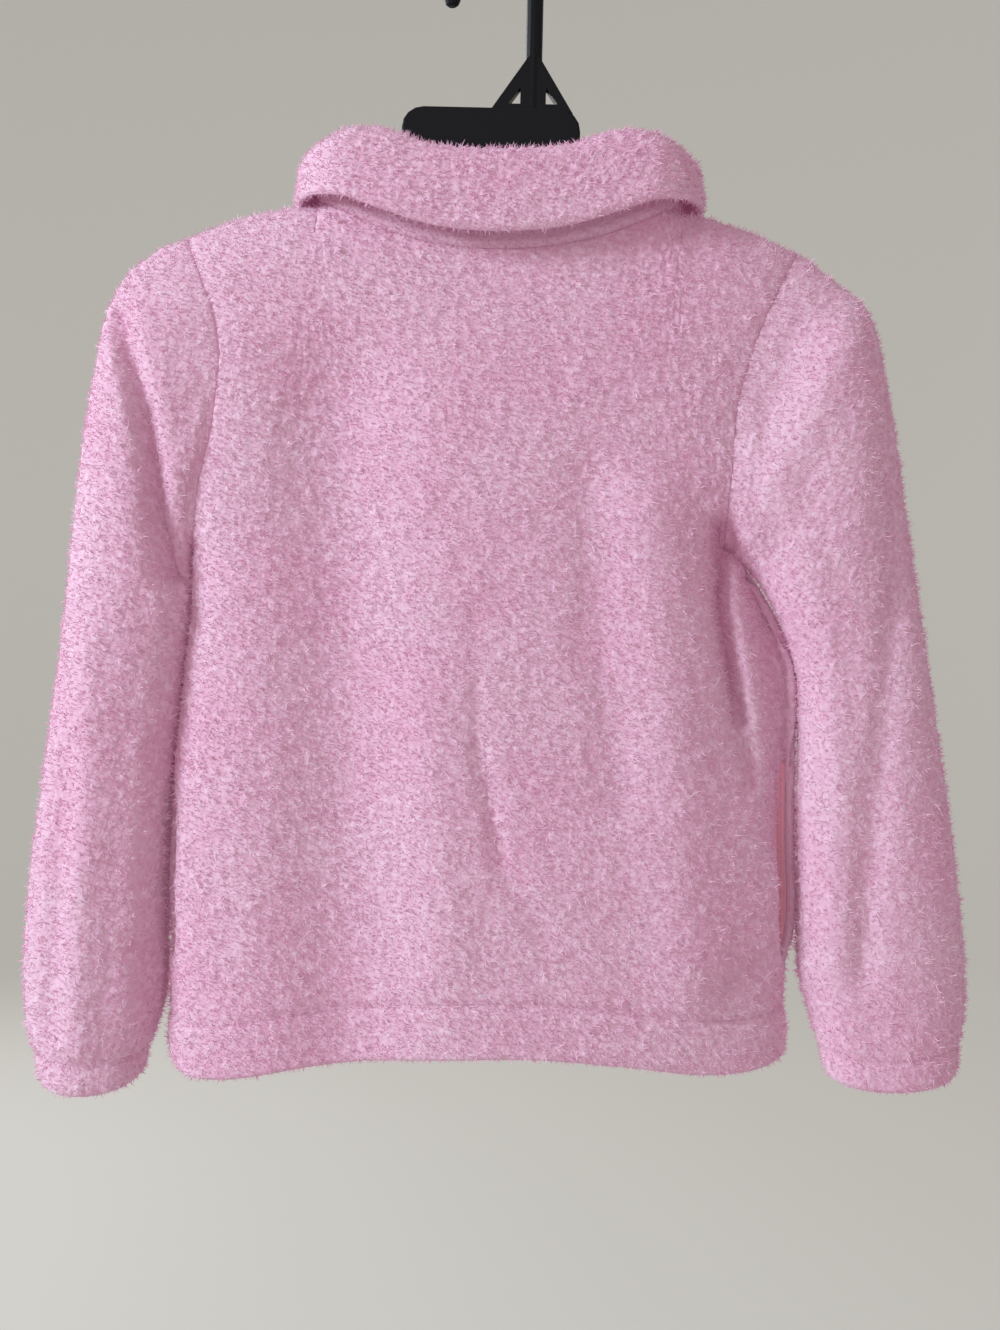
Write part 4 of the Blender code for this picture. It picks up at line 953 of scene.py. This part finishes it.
# ------------------------------------------------------------------ zip
# A moulded-tooth zip in pink: two woven tapes sewn behind the fronts' edges, a slider just under the collar
# with its pull tab hanging, and a box at the hem.
ZIP_TAPE_WIDTH, ZIP_TAPE_THICKNESS = 14.0, 1.2
ZIP_TAPE_HOLLOW = 0.03  # rise per millimetre towards the inside, clear of the front
ZIP_TAPE_GAP = 0.5  # from the front's inside, which steps at the hem
TAPE_LOW, TAPE_HIGH = 0.01, 1.98  # the tapes' ends, as rows of the front
HEM_TOP, HEM_STEP = 0.107, 0.006  # the row where the turned-up hem ends, and the step's half height in rows

tape_pink = make_plain("zip_tape", (0.55, 0.27, 0.40, 1), 0.85)
moulding = make_plain("pink_moulding", (0.56, 0.26, 0.40, 1), 0.35)


def tape_piece(side, name):
    """A strip sewn behind a front's edge, made from that front's own points, moved inside."""
    rows = np.concatenate([np.linspace(TAPE_LOW, HEM_TOP - HEM_STEP, 25),
                           np.linspace(HEM_TOP + HEM_STEP, TAPE_HIGH, 248)])
    strip = torso(-1, side * 1e-6, rows)
    behind = FLEECE * np.where(rows < HEM_TOP, 1.5, 0.5) + ZIP_TAPE_GAP + ZIP_TAPE_THICKNESS / 2
    across = np.linspace(SEAM_GAP / 2 - FRONT_HALF_GAP, ZIP_TAPE_WIDTH - FRONT_HALF_GAP, 9)
    grid = np.stack([
        strip[:, None, 0] + side * across,
        strip[:, None, 1] + behind[:, None] + ZIP_TAPE_HOLLOW * np.maximum(across, 0),
        strip[:, None, 2] + 0 * across,
    ], -1)
    half = np.full(grid.shape[:2], ZIP_TAPE_THICKNESS / 2)
    return make_wall(name, grid, half, half, tape_pink, flip=side < 0), grid


def teeth_group():
    """Moulded teeth along the zip's middle line, set alternately to either side of it."""
    group, start, finish = node_group("teeth", [
        ("Pitch", "Float", 0.0015), ("Size", "Vector", (0.0032, 0.0024, 0.0011)),
        ("Offset", "Float", 0.0009), ("Material", "Material", None)])
    given = start.outputs
    spaced = spaced_line(group, given)
    block = add_node(group, "GeometryNodeMeshCube", {"Size": given["Size"]}).outputs[0]
    placed = add_node(group, "GeometryNodeInstanceOnPoints", {"Points": spaced, "Instance": block}).outputs[0]
    index = add_node(group, "GeometryNodeInputIndex").outputs[0]
    side = maths(group, "MULTIPLY_ADD", maths(group, "FLOORED_MODULO", index, 2.0), 2.0, -1.0)
    out = maths(group, "MULTIPLY", side, given["Offset"])
    shift = add_node(group, "ShaderNodeCombineXYZ", {0: out}).outputs[0]
    moved = add_node(group, "GeometryNodeTranslateInstances",
                     {"Instances": placed, "Translation": shift, "Local Space": False}).outputs[0]
    return end_group(group, finish, moved, given["Material"])


TEETH_LOW, TEETH_HIGH = -602.0, -221.0
zip_line = torso(-1, 1e-6, np.linspace(TAPE_LOW, TAPE_HIGH, 300))
zip_line = zip_line[(zip_line[:, 2] > TEETH_LOW) & (zip_line[:, 2] < TEETH_HIGH)]
zip_line = zip_line + np.array([-FRONT_HALF_GAP, FLEECE / 2 - 0.2, 0])
zip_path = line_mesh("zip_path", zip_line)
teeth = grow("zip_teeth", zip_path, teeth_group(), {"Material": moulding})
bpy.data.objects.remove(zip_path)
tapes = {side: tape_piece(side, f"zip_tape_woven_{word}") for side, word in SIDES}


# ------------------------------------------------------------------ hanger
# One moulding of black polypropylene: hook, stem with its gusset, and two arms inside the shoulders.
def make_black():
    """Moulded black plastic: satin, with a faint unevenness."""
    material, tree, shader = new_material("black_plastic")
    place = own_place(tree)
    worn = noise(tree, place, 60)
    rough = stretch(tree, worn, to_min=0.32, to_max=0.46)
    tree.links.new(rough, shader.inputs["Roughness"])
    emboss(tree, shader, noise(tree, place, 900), 0.15, 0.0002)
    set_shader(shader, {"Specular IOR Level": 0.14, "Base Color": (0.006, 0.0055, 0.008, 1)})
    return material


black = make_black()
bpy.data.objects["hanger"].material_slots[0].material = black
for node in ("zip_slider", "zip_pull", "zip_box"):
    bpy.data.objects[node].material_slots[0].material = moulding


Cut = namedtuple("Cut", "made node finish closed flat density added")
cuts = [
    Cut(back, "back", "pink_sherpa", False, (0.40, 0.475), 290000, [back[2]]),
    *(Cut(fronts[side], f"front_{word}", "pink_sherpa", False, (0.21, 0.475), 190000, [fronts[side][2]])
      for side, word in SIDES),
    *(Cut(sleeves[side], f"sleeve_{word}", "pink_sherpa", True, (0.34, 0.47), 225000, [sleeves[side][2]])
      for side, word in SIDES),
    Cut((collar_piece, collar_grid), "collar", "pink_sherpa", False, (0.50, 0.12), 300000, []),
    *(Cut(pockets[side], f"pocket_{word}", "coral_knit", False, (0.13, 0.128), 0, [])
      for side, word in SIDES),
    *(Cut(tapes[side], f"zip_tape_{word}", "zip_tape", False, (0.0145, 0.41), 0, [teeth] if side > 0 else [])
      for side, word in SIDES),
]
for number, cut in enumerate(cuts):
    thing, grid = cut.made[:2]
    added = list(cut.added)
    if cut.density:
        added.append(pile_of(thing, f"{thing.name}_pile", cut.density, number))
    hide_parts(cut.node)
    for piece in [thing, *added]:
        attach(piece, "jacket")

# ------------------------------------------------------------------ studio
# A pale seamless floor that rises into a wall, and soft lamps. The cool key stands on the jacket's left.
FLOOR = -1.15


def make_sweep():
    """A round floor whose rim rises on every side."""
    radii = [(0.001, FLOOR), (3.0, FLOOR)] + [
        (3.0 + 1.2 * sin(t), FLOOR + 1.2 - 1.2 * cos(t)) for t in np.linspace(0.1, pi / 2, 9)
    ] + [(4.2, 4.0)]
    turns = 96
    around = np.linspace(0, 2 * pi, turns, endpoint=False)
    points = [(r * cos(a), r * sin(a), z) for r, z in radii for a in around]
    faces = skin_faces(np.arange(len(points)).reshape(-1, turns), True) + [tuple(range(turns))]
    mesh = bpy.data.meshes.new("sweep")
    mesh.from_pydata(points, [], faces)
    mesh.shade_smooth()
    wall = make_plain("pale_wall", (0.30, 0.29, 0.275, 1), 0.9)
    given = wall.node_tree.nodes["Principled BSDF"].inputs
    given["Emission Color"].default_value = (1.0, 0.95, 0.88, 1)
    given["Emission Strength"].default_value = 0.30
    mesh.materials.append(wall)
    thing = place_object("sweep", mesh)
    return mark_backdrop(thing)


make_sweep()


def lamp(name, place, aim, size, power, colour):
    light = bpy.data.lights.new(name, "AREA")
    light.size, light.energy, light.color = size, power, colour
    thing = place_object(name, light)
    thing.location = place
    thing.rotation_euler = (Vector(aim) - Vector(place)).to_track_quat("-Z", "Y").to_euler()


middle = (0, 0, -0.38)
lamp("key", (2.35, 1.25, 0.55), middle, 0.8, 75, (0.77, 0.97, 1.0))
lamp("fill", (0.1, 2.2, 0.1), middle, 1.0, 5, (1.0, 0.90, 0.90))
lamp("front_key", (1.4, -1.7, 0.4), middle, 1.2, 26, (0.96, 0.97, 1.0))
lamp("top", (0.3, 0.3, 1.9), middle, 1.6, 6, (1.0, 0.97, 0.94))
world = bpy.data.worlds.new("studio")
world.use_nodes = True
glow = world.node_tree.nodes["Background"].inputs
glow["Color"].default_value, glow["Strength"].default_value = (0.86, 0.77, 0.78, 1), 0.19
bpy.context.scene.world = world
bpy.context.scene.view_settings.view_transform = "Standard"

camera = bpy.data.cameras.new("camera")
camera.lens, camera.sensor_width, camera.sensor_fit = 36.9, 36, "AUTO"
eye = place_object("camera", camera)
eye.location = (-0.00275, 0.75, -0.3949)  # level with the photograph's middle, behind the jacket's back
eye.rotation_euler = (pi / 2, 0, pi)
bpy.context.scene.camera = eye
